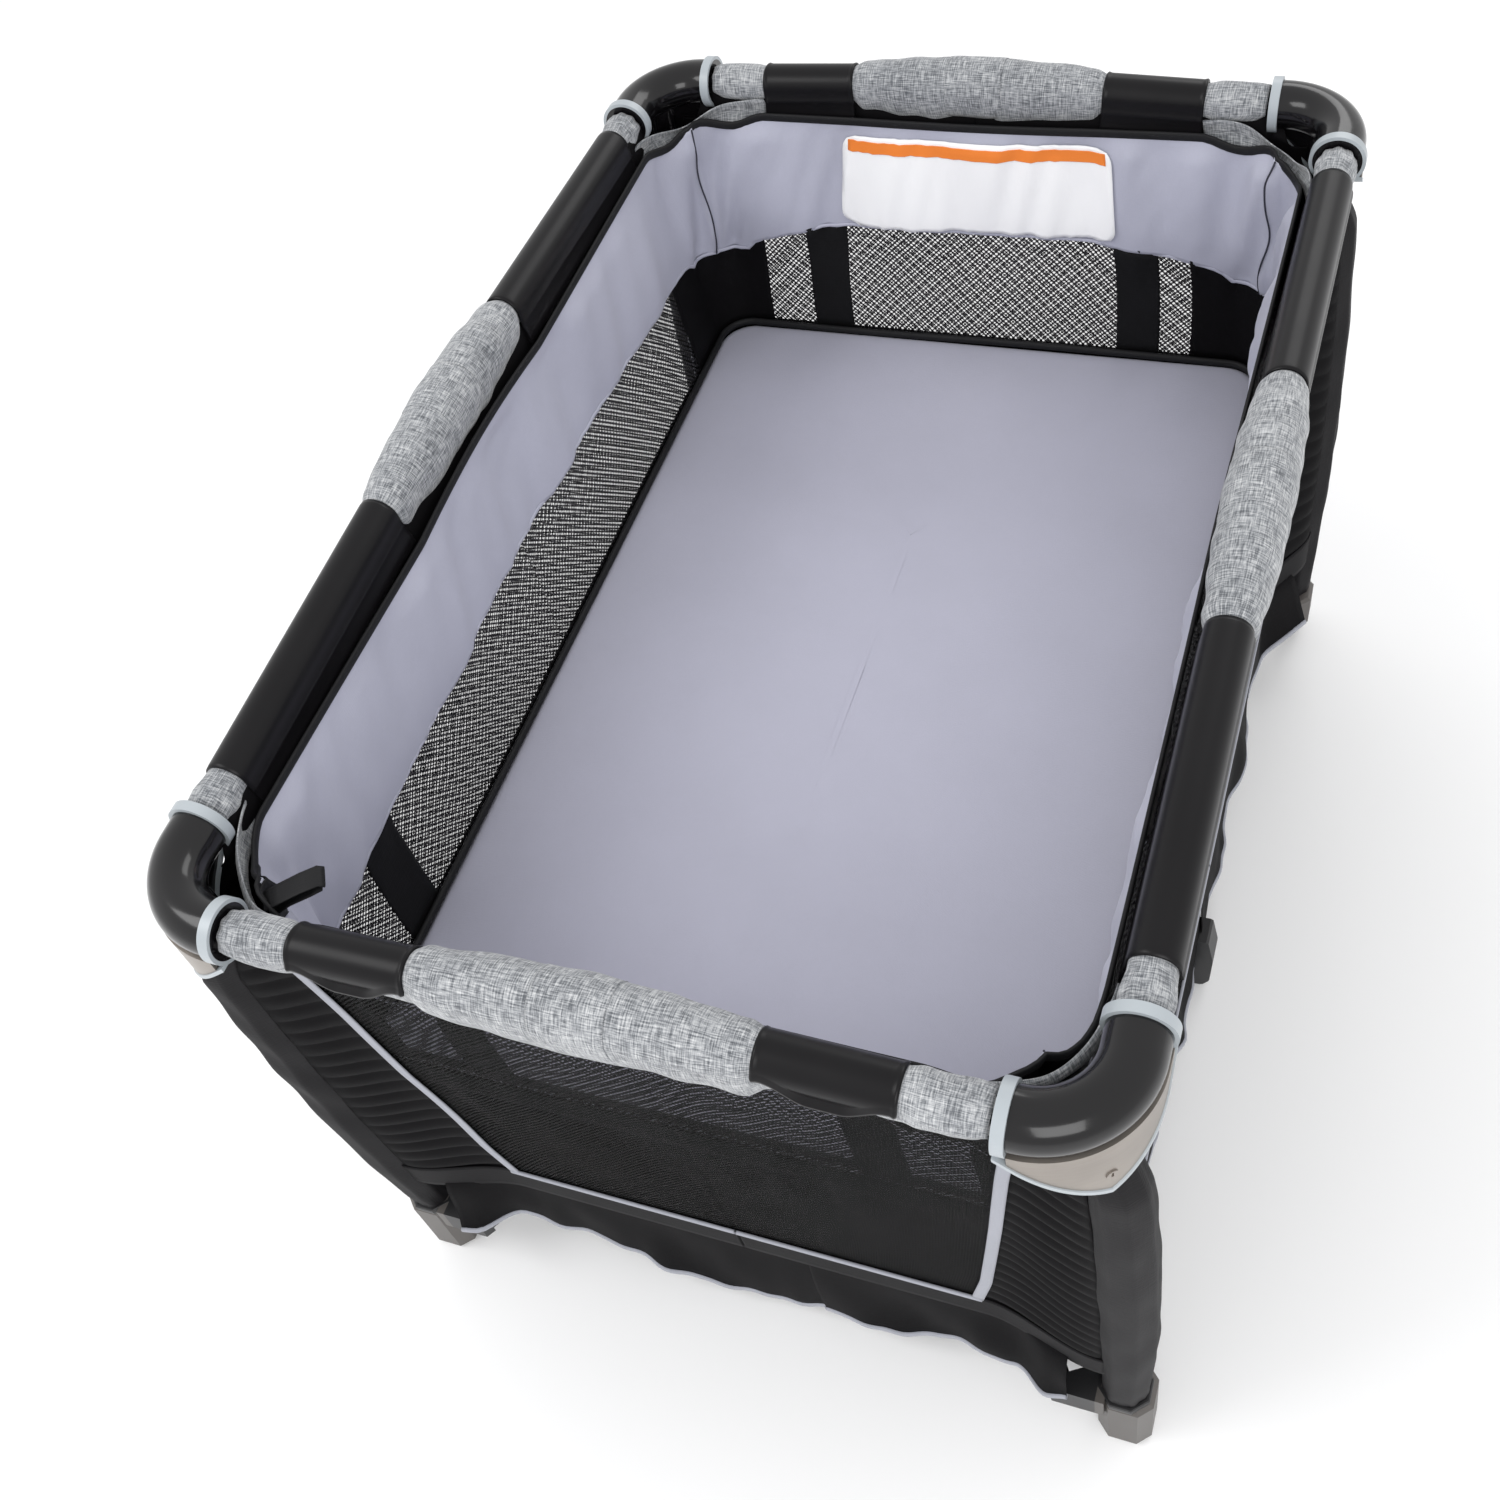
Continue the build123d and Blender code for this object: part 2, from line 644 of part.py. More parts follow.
# Bassinet insert: its walls and floor, and the mattress on it.
with BuildPart() as bassinet_walls:
    with BuildSketch(Plane.XY.offset(WALL_LOW)):
        RectangleRounded(2 * WALL_LOW_X, 2 * WALL_LOW_Y, 78)
    with BuildSketch(Plane.XY.offset(WALL_HIGH)):
        RectangleRounded(2 * WALL_TOP_X, 2 * WALL_TOP_Y, 90)
    loft()
    with BuildSketch(Plane.XY.offset(WALL_LOW + WALL_T)):
        RectangleRounded(2 * (WALL_LOW_X - WALL_T), 2 * (WALL_LOW_Y - WALL_T), 75)
    with BuildSketch(Plane.XY.offset(WALL_HIGH + 0.01)):
        RectangleRounded(2 * (WALL_TOP_X - WALL_T), 2 * (WALL_TOP_Y - WALL_T), 87)
    loft(mode=Mode.SUBTRACT)
save(bassinet_walls.part, "bassinet_walls")

with BuildPart() as mattress:
    with BuildSketch(Plane.XY.offset(MATTRESS_LOW)):
        RectangleRounded(2 * MATTRESS_X, 2 * MATTRESS_Y, 72)
    extrude(amount=MATTRESS_HIGH - MATTRESS_LOW)
    fillet(faces().sort_by(Axis.Z)[-1].edges(), 8)
save(mattress.part, "mattress")
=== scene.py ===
import json
import math

import bmesh
import bpy
import numpy as np
from mathutils import Matrix, Vector


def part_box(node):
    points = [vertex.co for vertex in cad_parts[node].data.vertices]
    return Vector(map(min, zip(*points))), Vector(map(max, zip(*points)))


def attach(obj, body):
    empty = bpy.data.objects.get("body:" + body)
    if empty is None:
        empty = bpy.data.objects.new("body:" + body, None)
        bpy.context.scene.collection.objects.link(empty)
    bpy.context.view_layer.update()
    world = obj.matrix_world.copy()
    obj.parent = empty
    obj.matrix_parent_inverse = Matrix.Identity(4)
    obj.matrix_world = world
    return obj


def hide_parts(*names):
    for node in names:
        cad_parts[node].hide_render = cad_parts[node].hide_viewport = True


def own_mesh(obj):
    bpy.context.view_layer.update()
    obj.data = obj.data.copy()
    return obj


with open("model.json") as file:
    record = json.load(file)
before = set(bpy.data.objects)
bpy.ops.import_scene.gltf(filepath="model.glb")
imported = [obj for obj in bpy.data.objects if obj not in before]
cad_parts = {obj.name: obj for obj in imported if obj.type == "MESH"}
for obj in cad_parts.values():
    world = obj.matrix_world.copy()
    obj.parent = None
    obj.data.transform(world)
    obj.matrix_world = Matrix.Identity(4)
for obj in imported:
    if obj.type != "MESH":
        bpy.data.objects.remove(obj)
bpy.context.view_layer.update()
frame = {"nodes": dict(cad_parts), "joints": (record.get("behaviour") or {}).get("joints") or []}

# Everything is in metres. X runs across the yard, Y along it, Z up, and the front is at -Y.
UP = Vector((0, 0, 1))
JOINTS = {j["name"]: j for j in frame["joints"]}
CORNERS = {"fl": (-1, -1), "fr": (1, -1), "rl": (-1, 1), "rr": (1, 1)}


def joint_at(name):
    return Vector(JOINTS[name]["pos_m"])


RAIL_X = abs(joint_at("rail_left_a_hinge").x)
RAIL_Y = abs(joint_at("rail_front_a_hinge").y)
WALL_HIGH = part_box("bassinet_walls")[1]
MATTRESS_LOW, MATTRESS_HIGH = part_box("mattress")
MATTRESS_Z = MATTRESS_HIGH[2]
FOOT_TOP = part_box("foot_fl")[1][2]


# ---------------------------------------------------------------- materials


def srgb(r, g, b):
    """A colour picked in 0 to 255 display values, as the shader needs it."""
    shares = np.array([r, g, b]) / 255
    linear = np.where(shares <= 0.04045, shares / 12.92, ((shares + 0.055) / 1.055) ** 2.4)
    return tuple(float(v) for v in linear) + (1,)


class Shader:
    """A material around one Principled shader, with short ways to add nodes."""

    def __init__(self, name, **sockets):
        self.material = bpy.data.materials.new(name)
        self.material.use_nodes = True
        self.tree = self.material.node_tree
        self.bsdf = self.tree.nodes["Principled BSDF"]
        for key, value in sockets.items():
            self.bsdf.inputs[key.replace("_", " ")].default_value = value

    def node(self, kind, inputs=None, **settings):
        made = self.tree.nodes.new("ShaderNode" + kind)
        for key, value in settings.items():
            setattr(made, key, value)
        for key, value in (inputs or {}).items():
            if isinstance(value, bpy.types.NodeSocket):
                self.tree.links.new(value, made.inputs[key])
            else:
                made.inputs[key].default_value = value
        return made

    def coords(self, kind="Object", scale=(1, 1, 1), rotation=(0, 0, 0)):
        source = self.node("TexCoord")
        mapping = self.node("Mapping", {"Vector": source.outputs[kind], "Scale": scale, "Rotation": rotation})
        return mapping.outputs["Vector"]

    def noise(self, vector, scale=1.0, detail=2.0, rough=0.5):
        return self.node(
            "TexNoise", {"Vector": vector, "Scale": scale, "Detail": detail, "Roughness": rough}
        ).outputs["Fac"]

    def math(self, operation, a, b=0.0):
        return self.node("Math", {0: a, 1: b}, operation=operation).outputs[0]

    def ramp(self, fac, *stops):
        made = self.node("ValToRGB", {"Fac": fac})
        ramp = made.color_ramp
        while len(ramp.elements) < len(stops):
            ramp.elements.new(0.5)
        for element, (at, colour) in zip(ramp.elements, stops):
            element.position = at
            element.color = colour if hasattr(colour, "__len__") else (colour, colour, colour, 1)
        return made.outputs["Color"]

    def colour(self, socket):
        self.tree.links.new(socket, self.bsdf.inputs["Base Color"])

    def rough(self, socket, low, high):
        spread = self.node("MapRange", {"Value": socket, "To Min": low, "To Max": high})
        self.tree.links.new(spread.outputs[0], self.bsdf.inputs["Roughness"])

    def bump(self, socket, strength, distance):
        made = self.node("Bump", {"Height": socket, "Strength": strength, "Distance": distance})
        self.tree.links.new(made.outputs[0], self.bsdf.inputs["Normal"])

    def see_through(self, alpha):
        self.tree.links.new(alpha, self.bsdf.inputs["Alpha"])


def shade(colour, factor):
    return tuple(c * factor for c in colour[:3]) + (1,)


def heather():
    """Grey melange upholstery: uneven light and dark threads that cross."""
    s = Shader("heather_weave", Roughness=0.9, Sheen_Weight=0.25, Sheen_Roughness=0.5)
    warp = s.noise(s.coords("UV", (85, 1050, 1)), 1.0, 3.0, 0.62)
    weft = s.noise(s.coords("UV", (1050, 85, 1)), 1.0, 3.0, 0.62)
    cloud = s.noise(s.coords("Object", (1, 1, 1)), 26.0, 2.0)
    threads = s.math("ADD", warp, weft)
    total = s.math("ADD", threads, s.math("MULTIPLY", cloud, 0.22))
    half = s.math("MULTIPLY", total, 0.5)
    s.colour(
        s.ramp(
            half,
            (0.45, srgb(82, 85, 90)),
            (0.53, srgb(128, 131, 135)),
            (0.60, srgb(165, 167, 170)),
            (0.70, srgb(204, 205, 206)),
        )
    )
    s.bump(threads, 0.5, 0.0007)
    return s.material


def woven(name, colour, rough=0.7, sheen=0.2, pitch=900, vary=0.08, wrinkle=0.0006, shine=0.35):
    """A plain closely woven cloth."""
    s = Shader(name, Sheen_Weight=sheen, Sheen_Roughness=0.45, Specular_IOR_Level=shine)
    cloud = s.noise(s.coords("Object"), 9.0, 4.0, 0.6)
    warp = s.noise(s.coords("UV", (pitch * 0.12, pitch, 1)), 1.0, 1.0)
    weft = s.noise(s.coords("UV", (pitch, pitch * 0.12, 1)), 1.0, 1.0)
    weave = s.math("ADD", warp, weft)
    both = s.math("ADD", s.math("MULTIPLY", cloud, 0.6), s.math("MULTIPLY", weave, 0.2))
    s.colour(s.ramp(both, (0.30, shade(colour, 1 - vary)), (0.70, shade(colour, 1 + vary))))
    s.rough(cloud, rough - 0.05, rough + 0.08)
    s.bump(weave, 0.25, wrinkle)
    return s.material


def net(name, thread, hole, pitch, hole_alpha):
    """Knitted mesh: rows of small holes between dark threads. The holes let the light through."""
    s = Shader(name, Roughness=0.75, Specular_IOR_Level=0.2)
    turned = s.coords("UV", (1 / pitch, 1 / pitch, 1), (0, 0, math.radians(45)))
    cells = s.node("TexVoronoi", {"Vector": turned, "Scale": 1.0, "Randomness": 0.0}, feature="F1")
    limits = {"From Min": hole - 0.06, "From Max": hole + 0.06}
    edge = s.node("MapRange", {"Value": cells.outputs["Distance"], **limits}).outputs[0]
    cloud = s.noise(s.coords("Object"), 14.0, 2.0)
    s.colour(s.ramp(cloud, (0.3, shade(thread, 0.8)), (0.7, shade(thread, 1.25))))
    s.see_through(s.node("MapRange", {"Value": edge, "To Min": hole_alpha, "To Max": 1.0}).outputs[0])
    s.bump(edge, 0.4, 0.0006)
    return s.material


def plastic_shader(name, colour, rough, coat, grain, vary, bump, coat_rough, shine):
    """What every plastic shares: the shader and its mottled colour."""
    s = Shader(name, Coat_Weight=coat, Coat_Roughness=coat_rough, Specular_IOR_Level=shine)
    cloud = s.noise(s.coords("Object"), 16.0, 4.0, 0.55)
    fine = s.noise(s.coords("Object"), grain, 2.0)
    mottled = s.ramp(cloud, (0.3, shade(colour, 1 - vary)), (0.7, shade(colour, 1 + vary)))
    s.colour(mottled)
    s.rough(cloud, max(0.02, rough - 0.04), rough + 0.06)
    s.bump(fine, 0.3, bump)
    return s, mottled


def plastic(name, colour, rough, coat=0.0, grain=260.0, vary=0.06, bump=0.00006, coat_rough=0.08, shine=0.5):
    """Moulded plastic with a faint grain and slight unevenness in its gloss."""
    return plastic_shader(name, colour, rough, coat, grain, vary, bump, coat_rough, shine)[0].material


def foot_plastic():
    """Taupe plastic; the inner arm, which holds the floor strut, is darker."""
    s, taupe = plastic_shader("foot_grey", srgb(84, 80, 77), 0.46, 0.1, 420, 0.08, 0.0001, 0.3, 0.5)
    split = s.node("SeparateXYZ", {"Vector": s.node("TexCoord").outputs["Object"]})
    side = s.math("ABSOLUTE", split.outputs["X"])
    outside = s.math("GREATER_THAN", side, 0.3065)
    mix = s.node("Mix", {0: outside, 6: srgb(28, 28, 30), 7: taupe}, data_type="RGBA")
    s.colour(mix.outputs[2])
    return s.material


def metal(name, colour, rough, stretch, metallic=0.9):
    """Brushed or painted metal, with fine lines along one way."""
    s = Shader(name, Metallic=metallic)
    lines = s.noise(s.coords("Object", stretch), 1.0, 3.0, 0.6)
    cloud = s.noise(s.coords("Object"), 20.0, 3.0)
    mean = s.math("MULTIPLY", s.math("ADD", lines, cloud), 0.5)
    s.colour(s.ramp(mean, (0.35, shade(colour, 0.86)), (0.65, shade(colour, 1.1))))
    s.rough(lines, rough - 0.06, rough + 0.1)
    s.bump(lines, 0.15, 0.0001)
    return s.material


HEATHER = heather()
NYLON = woven("grey_nylon", srgb(176, 177, 192), 0.55, 0.15, 1400, 0.06, 0.0004)
MATTRESS = woven("mattress_cloth", srgb(176, 176, 191), 0.8, 0.15, 1300, 0.04, 0.0005)
BLACK = woven("black_polyester", srgb(12, 11, 13), 0.7, 0.0, 1000, 0.25, 0.0006, 0.10)
BLACK_SOFT = woven("black_band_cloth", srgb(20, 19, 21), 0.62, 0.0, 900, 0.15, 0.0006, 0.12)
LEG_CLOTH = woven("leg_sleeve_cloth", srgb(25, 24, 26), 0.62, 0.0, 800, 0.16, 0.0008, 0.18)
WEBBING = woven("webbing", srgb(16, 16, 18), 0.8, 0.0, 500, 0.25, 0.0012, 0.2)
BINDING = woven("black_binding", srgb(24, 24, 26), 0.6, 0.0, 700, 0.2, 0.0008, 0.25)
SEAM = woven("dark_seam", srgb(58, 58, 68), 0.8, 0.0, 700, 0.2, 0.0008, 0.2)
PIPING = woven("grey_piping", srgb(154, 156, 165), 0.65, 0.1, 700, 0.07, 0.0008)
INNER_NET = net("insert_mesh", srgb(46, 45, 48), 0.458, 0.0050, 0.0)
OUTER_NET = net("yard_mesh", srgb(7, 7, 8), 0.42, 0.0034, 0.10)
PATCH_WHITE = woven("patch_white", srgb(245, 245, 246), 0.5, 0.0, 1600, 0.01, 0.0002)
PATCH_HEAD = woven("patch_header", srgb(238, 132, 52), 0.5, 0.0, 1600, 0.03, 0.0002)
GLOSS = plastic("gloss_black", srgb(14, 13, 15), 0.17, 0.22, 500, 0.1, 0.00002, 0.06, 0.32)
CLIP = plastic("clip_charcoal", srgb(17, 16, 18), 0.34, 0.0, 700, 0.08, 0.00005, 0.25, 0.20)
TRIM = plastic("trim_blue_grey", srgb(166, 173, 178), 0.36, 0.15, 500, 0.03, 0.00003, 0.3)
FOOT = foot_plastic()
DARK = plastic("dark_plastic", srgb(26, 26, 28), 0.45, 0.1, 420, 0.1, 0.0001, 0.3)
WHEEL = plastic("wheel_rubber", srgb(44, 43, 43), 0.6, 0.0, 300, 0.12, 0.0002)
PLATE = metal("plate_silver", srgb(150, 143, 136), 0.36, (30, 30, 900), 0.75)
STEEL = metal("tube_steel", srgb(120, 121, 124), 0.42, (300, 300, 300), 0.7)

# The first of these starts that fits a node's name gives its finish.
FINISH = {
    "elbow_trim": TRIM,
    "elbow_plate": PLATE,
    "elbow_": GLOSS,
    "latch_": DARK,
    "center_hub": DARK,
    "leg_tube": STEEL,
    "rail_tube": STEEL,
    "floor_strut": STEEL,
    "foot_": FOOT,
    "mid_strut": DARK,
    "wheel": WHEEL,
    "brake_lever": FOOT,
}
for label, node in frame["nodes"].items():
    for start, material in FINISH.items():
        if label.startswith(start):
            node.data.materials.clear()
            node.data.materials.append(material)
            break


# ---------------------------------------------------------------- mesh helpers


def piece(name, verts, faces, material, uvs):
    """A mesh object from points and faces, with one UV pair for each face corner."""
    mesh = bpy.data.meshes.new(name)
    mesh.from_pydata([tuple(v) for v in verts], [], faces)
    mesh.update()
    layer = mesh.uv_layers.new(name="cloth")
    layer.data.foreach_set("uv", np.asarray(uvs, float).ravel())
    mesh.materials.append(material)
    mesh.polygons.foreach_set("use_smooth", [True] * len(mesh.polygons))
    made = bpy.data.objects.new(name, mesh)
    bpy.context.scene.collection.objects.link(made)
    return made


def surface(name, points, material, closed_u=False, closed_v=False, thick=0.0):
    """A cloth or skin through a grid of points."""
    points = np.asarray(points, float)
    nu, nv = points.shape[:2]
    du = np.linalg.norm(np.diff(points, axis=0, append=points[:1]), axis=2).mean(axis=1)
    dv = np.linalg.norm(np.diff(points, axis=1, append=points[:, :1]), axis=2).mean(axis=0)
    along = np.concatenate([[0], np.cumsum(du)])
    across = np.concatenate([[0], np.cumsum(dv)])
    faces, uvs = [], []
    for i in range(nu if closed_u else nu - 1):
        for j in range(nv if closed_v else nv - 1):
            i2, j2 = (i + 1) % nu, (j + 1) % nv
            faces.append((i * nv + j, i2 * nv + j, i2 * nv + j2, i * nv + j2))
            uvs += [
                (along[i], across[j]),
                (along[i + 1], across[j]),
                (along[i + 1], across[j + 1]),
                (along[i], across[j + 1]),
            ]
    made = piece(name, points.reshape(-1, 3), faces, material, uvs)
    if thick:
        solid = made.modifiers.new("thickness", "SOLIDIFY")
        solid.thickness = thick
        solid.offset = 0
    return made


def tube(name, line, material, wide, high=None, sides=10, closed=False, up=UP, square=2.0):
    """A cord or tape along a line: an oval section that is wide across and high along up."""
    line = np.asarray(line, float)
    high = wide if high is None else high
    if closed:
        tangent = np.roll(line, -1, axis=0) - np.roll(line, 1, axis=0)
    else:
        tangent = np.gradient(line, axis=0)
    tangent /= np.linalg.norm(tangent, axis=1)[:, None]
    side = np.cross(tangent, np.array(up, float))
    side /= np.linalg.norm(side, axis=1)[:, None]
    top = np.cross(side, tangent)
    angle = np.linspace(0, 2 * np.pi, sides, endpoint=False)
    c, s = np.cos(angle), np.sin(angle)
    c, s = np.sign(c) * np.abs(c) ** (2 / square), np.sign(s) * np.abs(s) ** (2 / square)
    out_side = wide / 2 * c[None, :, None] * side[:, None]
    out_top = high / 2 * s[None, :, None] * top[:, None]
    points = line[:, None] + out_side + out_top
    made = surface(name, points, material, closed_u=closed, closed_v=True)
    if not closed:
        cap_ends(made, len(line), sides)
    return made


def cap_ends(made, rows, sides):
    """Closes the two ends of a tube."""
    bm = bmesh.new()
    bm.from_mesh(made.data)
    bm.verts.ensure_lookup_table()
    for row in (0, rows - 1):
        bm.faces.new([bm.verts[row * sides + k] for k in range(sides)])
    bmesh.ops.recalc_face_normals(bm, faces=bm.faces[:])
    bm.to_mesh(made.data)
    bm.free()


def smoothstep(x, low, high):
    t = np.clip((np.asarray(x, float) - low) / (high - low), 0, 1)
    return t * t * (3 - 2 * t)


def ripple(u, v, wave_u, wave_v, seed):
    """A smooth random field of u and v, mostly from -1 to 1 and the same each run."""
    count = 7
    r = np.random.default_rng(seed)
    total = 0.0
    for _ in range(count):
        ku = r.uniform(0.5, 1.5) * 2 * np.pi / wave_u * r.choice((-1, 1))
        kv = r.uniform(0.3, 1.5) * 2 * np.pi / wave_v
        total = total + np.sin(ku * u + kv * v + r.uniform(0, 2 * np.pi))
    return total / math.sqrt(count) / 1.4


# ---------------------------------------------------------------- top rails: sleeves


def rail_line(name, end):
    """The corner pivot, the latch pivot and the direction between them of a half rail."""
    corner = joint_at(f"rail_{name}_{end}_hinge")
    latch = joint_at(f"latch_{name}_level")
    if end == "b":
        latch = Vector((-latch.x if name in ("front", "rear") else latch.x, latch.y, latch.z))
        if name in ("left", "right"):
            latch.y = -latch.y
    return corner, latch, (latch - corner).normalized()


def sleeve_section(radius, drop, angle):
    """Points round a sleeve: round above, and drawn down to an outer hem below."""
    c, s = np.cos(angle), np.sin(angle)
    low = np.clip(-s, 0, 1)
    across = radius * (c * (1 - 0.16 * low**2) + 0.20 * low**1.5)
    height = radius * s - drop * low**1.1
    return across, height


LONG_CLIP = (0.020, 0.276)
SHORT_CLIP = (0.041, 0.130)


def sleeve_shape(x, length, is_long):
    """Radius and hem drop of a sleeve at a distance from the corner pivot."""
    start, stop = LONG_CLIP if is_long else SHORT_CLIP
    middle = 0.0235 if is_long else 0.0218
    radius = 0.0143 + 0.0045 * smoothstep(x, stop - 0.003, stop + 0.010)
    radius = radius + (middle - 0.0188) * smoothstep(x, stop + 0.006, stop + 0.70 * (length - stop))
    before = start - x
    radius = radius + 0.0022 * smoothstep(before, 0.0, 0.012)
    radius = radius - 0.0030 * smoothstep(before, start - 0.012, start + 0.012)
    drop = 0.003 + 0.008 * smoothstep(x, 0.0, 0.06) + 0.009 * smoothstep(x, stop - 0.02, stop + 0.008)
    return radius, drop


def outward_of(name):
    ways = {"front": (0, -1, 0), "rear": (0, 1, 0), "left": (-1, 0, 0), "right": (1, 0, 0)}
    return Vector(ways[name])


def half_sleeve(name, end):
    """The wrinkled sleeve of a half rail, rounded off over its end at the latch."""
    corner, latch, along = rail_line(name, end)
    is_long = name in ("left", "right")
    length = (latch - corner).length
    side = outward_of(name)
    up = side.cross(along) * (1 if side.cross(along).z > 0 else -1)
    angle = np.linspace(0, 2 * np.pi, 48, endpoint=False)
    seed = sum(map(ord, name + end))
    rows = []
    for x in np.linspace(0.0, length, 110 if is_long else 80):
        radius, drop = sleeve_shape(x, length, is_long)
        wrinkle = 0.0010 * ripple(x, angle * 0.02, 0.045, 0.12, seed) * smoothstep(x, 0.0, 0.03)
        wrinkle = wrinkle * (1 - smoothstep(x, length - 0.03, length))
        pucker = 0.0007 * np.sin(angle * 9 + 3 * np.sin(x * 60)) * (1 - smoothstep(x, 0.004, 0.03))
        hem = 1 + 0.4 * ripple(x, 0.0, 0.07, 1.0, seed + 3) * np.clip(-np.sin(angle), 0, 1)
        across, height = sleeve_section(radius + wrinkle + pucker, drop * hem, angle)
        back = (-0.0115 + 0.024 * np.clip(-0.1 - np.sin(angle), 0, 1)) * (1 - smoothstep(x, 0.0, 0.03))
        rows.append((x + back, across, height))
    ball = sleeve_shape(length, length, is_long)
    for turn in np.linspace(0.25, 1.45, 6):
        across, height = sleeve_section(ball[0] * math.cos(turn), ball[1] * math.cos(turn), angle)
        rows.append((length + ball[0] * math.sin(turn) * 0.8 + 0 * angle, across, height))
    points = np.array(
        [
            [corner + along * x + side * a + up * h for x, a, h in zip(xs, across, height)]
            for xs, across, height in rows
        ]
    )
    made = surface(f"rail_sleeve_{name}_{end}", points, HEATHER, closed_v=True, thick=0.001)
    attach(made, f"rail_{name}_{end}")


def middle_sleeve(name):
    """The part of the sleeve over the centre latch, open below where the half rails drop."""
    latch = joint_at(f"latch_{name}_level")
    is_long = name in ("left", "right")
    along = Vector((0, 1, 0)) if is_long else Vector((1, 0, 0))
    centre = Vector((latch.x, 0, latch.z)) if is_long else Vector((0, latch.y, latch.z))
    side = outward_of(name)
    half = abs(latch.y if is_long else latch.x) + 0.006
    angle = np.linspace(-0.92, math.pi + 0.60, 42)
    seed = sum(map(ord, name))
    end_radius, drop = sleeve_shape(0.3, 0.3, is_long)
    points = []
    for x in np.linspace(-half, half, 22):
        radius = end_radius + 0.0004 + 0.0008 * (1 - (x / half) ** 2)
        wrinkle = 0.0008 * ripple(x, angle * 0.02, 0.05, 0.12, seed) * (1 - (x / half) ** 4)
        across, height = sleeve_section(radius + wrinkle, drop + 0.0004, angle)
        points.append([centre + along * x + side * a + UP * h for a, h in zip(across, height)])
    made = surface(f"rail_sleeve_{name}_middle", np.array(points), HEATHER, thick=0.001)
    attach(made, f"latch_{name}")
    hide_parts(f"rail_cover_{name}")


for rail in ("front", "rear", "left", "right"):
    for rail_end in ("a", "b"):
        half_sleeve(rail, rail_end)
    middle_sleeve(rail)


# ---------------------------------------------------------------- clips of the insert


# Half sizes of the insert's top edge, a little wider than the plain solid, right against the sleeves.
TOP_X, TOP_Y = WALL_HIGH[0] + 0.006, WALL_HIGH[1] + 0.0080


def clip(name, end):
    """A curved clip over a half rail, with a flat flange down its inner side."""
    corner, _, along = rail_line(name, end)
    is_long = name in ("left", "right")
    start, stop = LONG_CLIP if is_long else SHORT_CLIP
    inward = -outward_of(name)
    up = (Vector((0, 0, 1)) - along * along.z).normalized()
    reach = (RAIL_X - TOP_X) if is_long else (RAIL_Y - TOP_Y)
    inner = 0.0152
    rows = []
    for x in np.linspace(start, stop, 70):
        edge = min(x - start, stop - x)
        rim = 0.0007 * (1 - smoothstep(edge, 0.0018, 0.0038)) - 0.0010 * (1 - smoothstep(edge, 0.0, 0.0012))
        outer = 0.0168 + rim
        t = (x - start) / (stop - start)
        dip = 0.0 if is_long else smoothstep(0.5 - abs(t - 0.5), 0.06, 0.40)
        low = -0.006 if is_long else 0.0012 - 0.0120 * dip
        first = math.asin(max(-0.9, (low + 0.004) / outer))
        swing = 0.0022 * dip
        outline = [(-(inner + 0.0003 + swing), low), (-(inner + 0.0016 + swing), low - 0.0014)]
        outline += [(-(outer + 0.0012 + swing), low - 0.0006), (-(outer + 0.0010 + swing), low + 0.0014)]
        outline += [(-outer * math.cos(a), outer * math.sin(a)) for a in np.linspace(first, math.pi, 26)]
        outline += [(outer + 0.0006, -0.0075), (outer + 0.0016, -0.0092), (outer + 0.0006, -0.0110)]
        outline += [(reach - 0.0016, -0.020), (reach - 0.0006, -0.028), (reach - 0.0022, -0.0295)]
        outline += [(reach - 0.0040, -0.026), (inner + 0.0004, -0.005)]
        outline += [(-inner * math.cos(a), inner * math.sin(a)) for a in np.linspace(math.pi, first, 22)]
        rows.append([corner + along * x + inward * a + up * h for a, h in outline])
    made = surface(f"rail_clip_{name}_{end}", np.array(rows), CLIP, closed_v=True)
    cap_ends(made, len(rows), len(rows[0]))
    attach(made, "bassinet")
    return made


clips = [clip(rail, rail_end) for rail in ("front", "rear", "left", "right") for rail_end in ("a", "b")]
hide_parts("rail_clips")


# ---------------------------------------------------------------- bassinet insert


TOP_Z = WALL_HIGH[2]
BASE_Z = MATTRESS_Z + 0.002
# Each side and the corner after it are one unit round the insert: the side's straight part comes first.
STRAIGHT = 0.8
MID_CORNER = 0.9


def ring(p, z):
    """A point of the insert's wall and its outward normal. p runs 0 to 4 round the four sides."""
    p = np.asarray(p, float) % 4
    t = np.clip((z - BASE_Z) / (TOP_Z - BASE_Z), 0, 1)
    a = MATTRESS_HIGH[0] + 0.002 + (TOP_X - MATTRESS_HIGH[0] - 0.003) * t
    b = MATTRESS_HIGH[1] + 0.002 + (TOP_Y - MATTRESS_HIGH[1] - 0.003) * t
    r = 0.036 + 0.044 * t**1.5
    k, f = np.floor(p).astype(int), p % 1
    flat = np.clip(f / STRAIGHT, 0, 1)
    turn = np.clip((f - STRAIGHT) / (1 - STRAIGHT), 0, 1) * np.pi / 2
    long_side = k % 2 == 1
    half = np.where(long_side, b - r, a - r)
    off = np.where(long_side, a, b)
    x = -half + 2 * half * flat + np.where(f > STRAIGHT, r * np.sin(turn), 0)
    y = off - np.where(f > STRAIGHT, r * (1 - np.cos(turn)), 0)
    nx, ny = np.sin(turn), np.cos(turn)
    cos = np.array([1, 0, -1, 0])[k]
    sin = np.array([0, 1, 0, -1])[k]
    return x * cos + y * sin, x * sin - y * cos, nx * cos + ny * sin, nx * sin - ny * cos


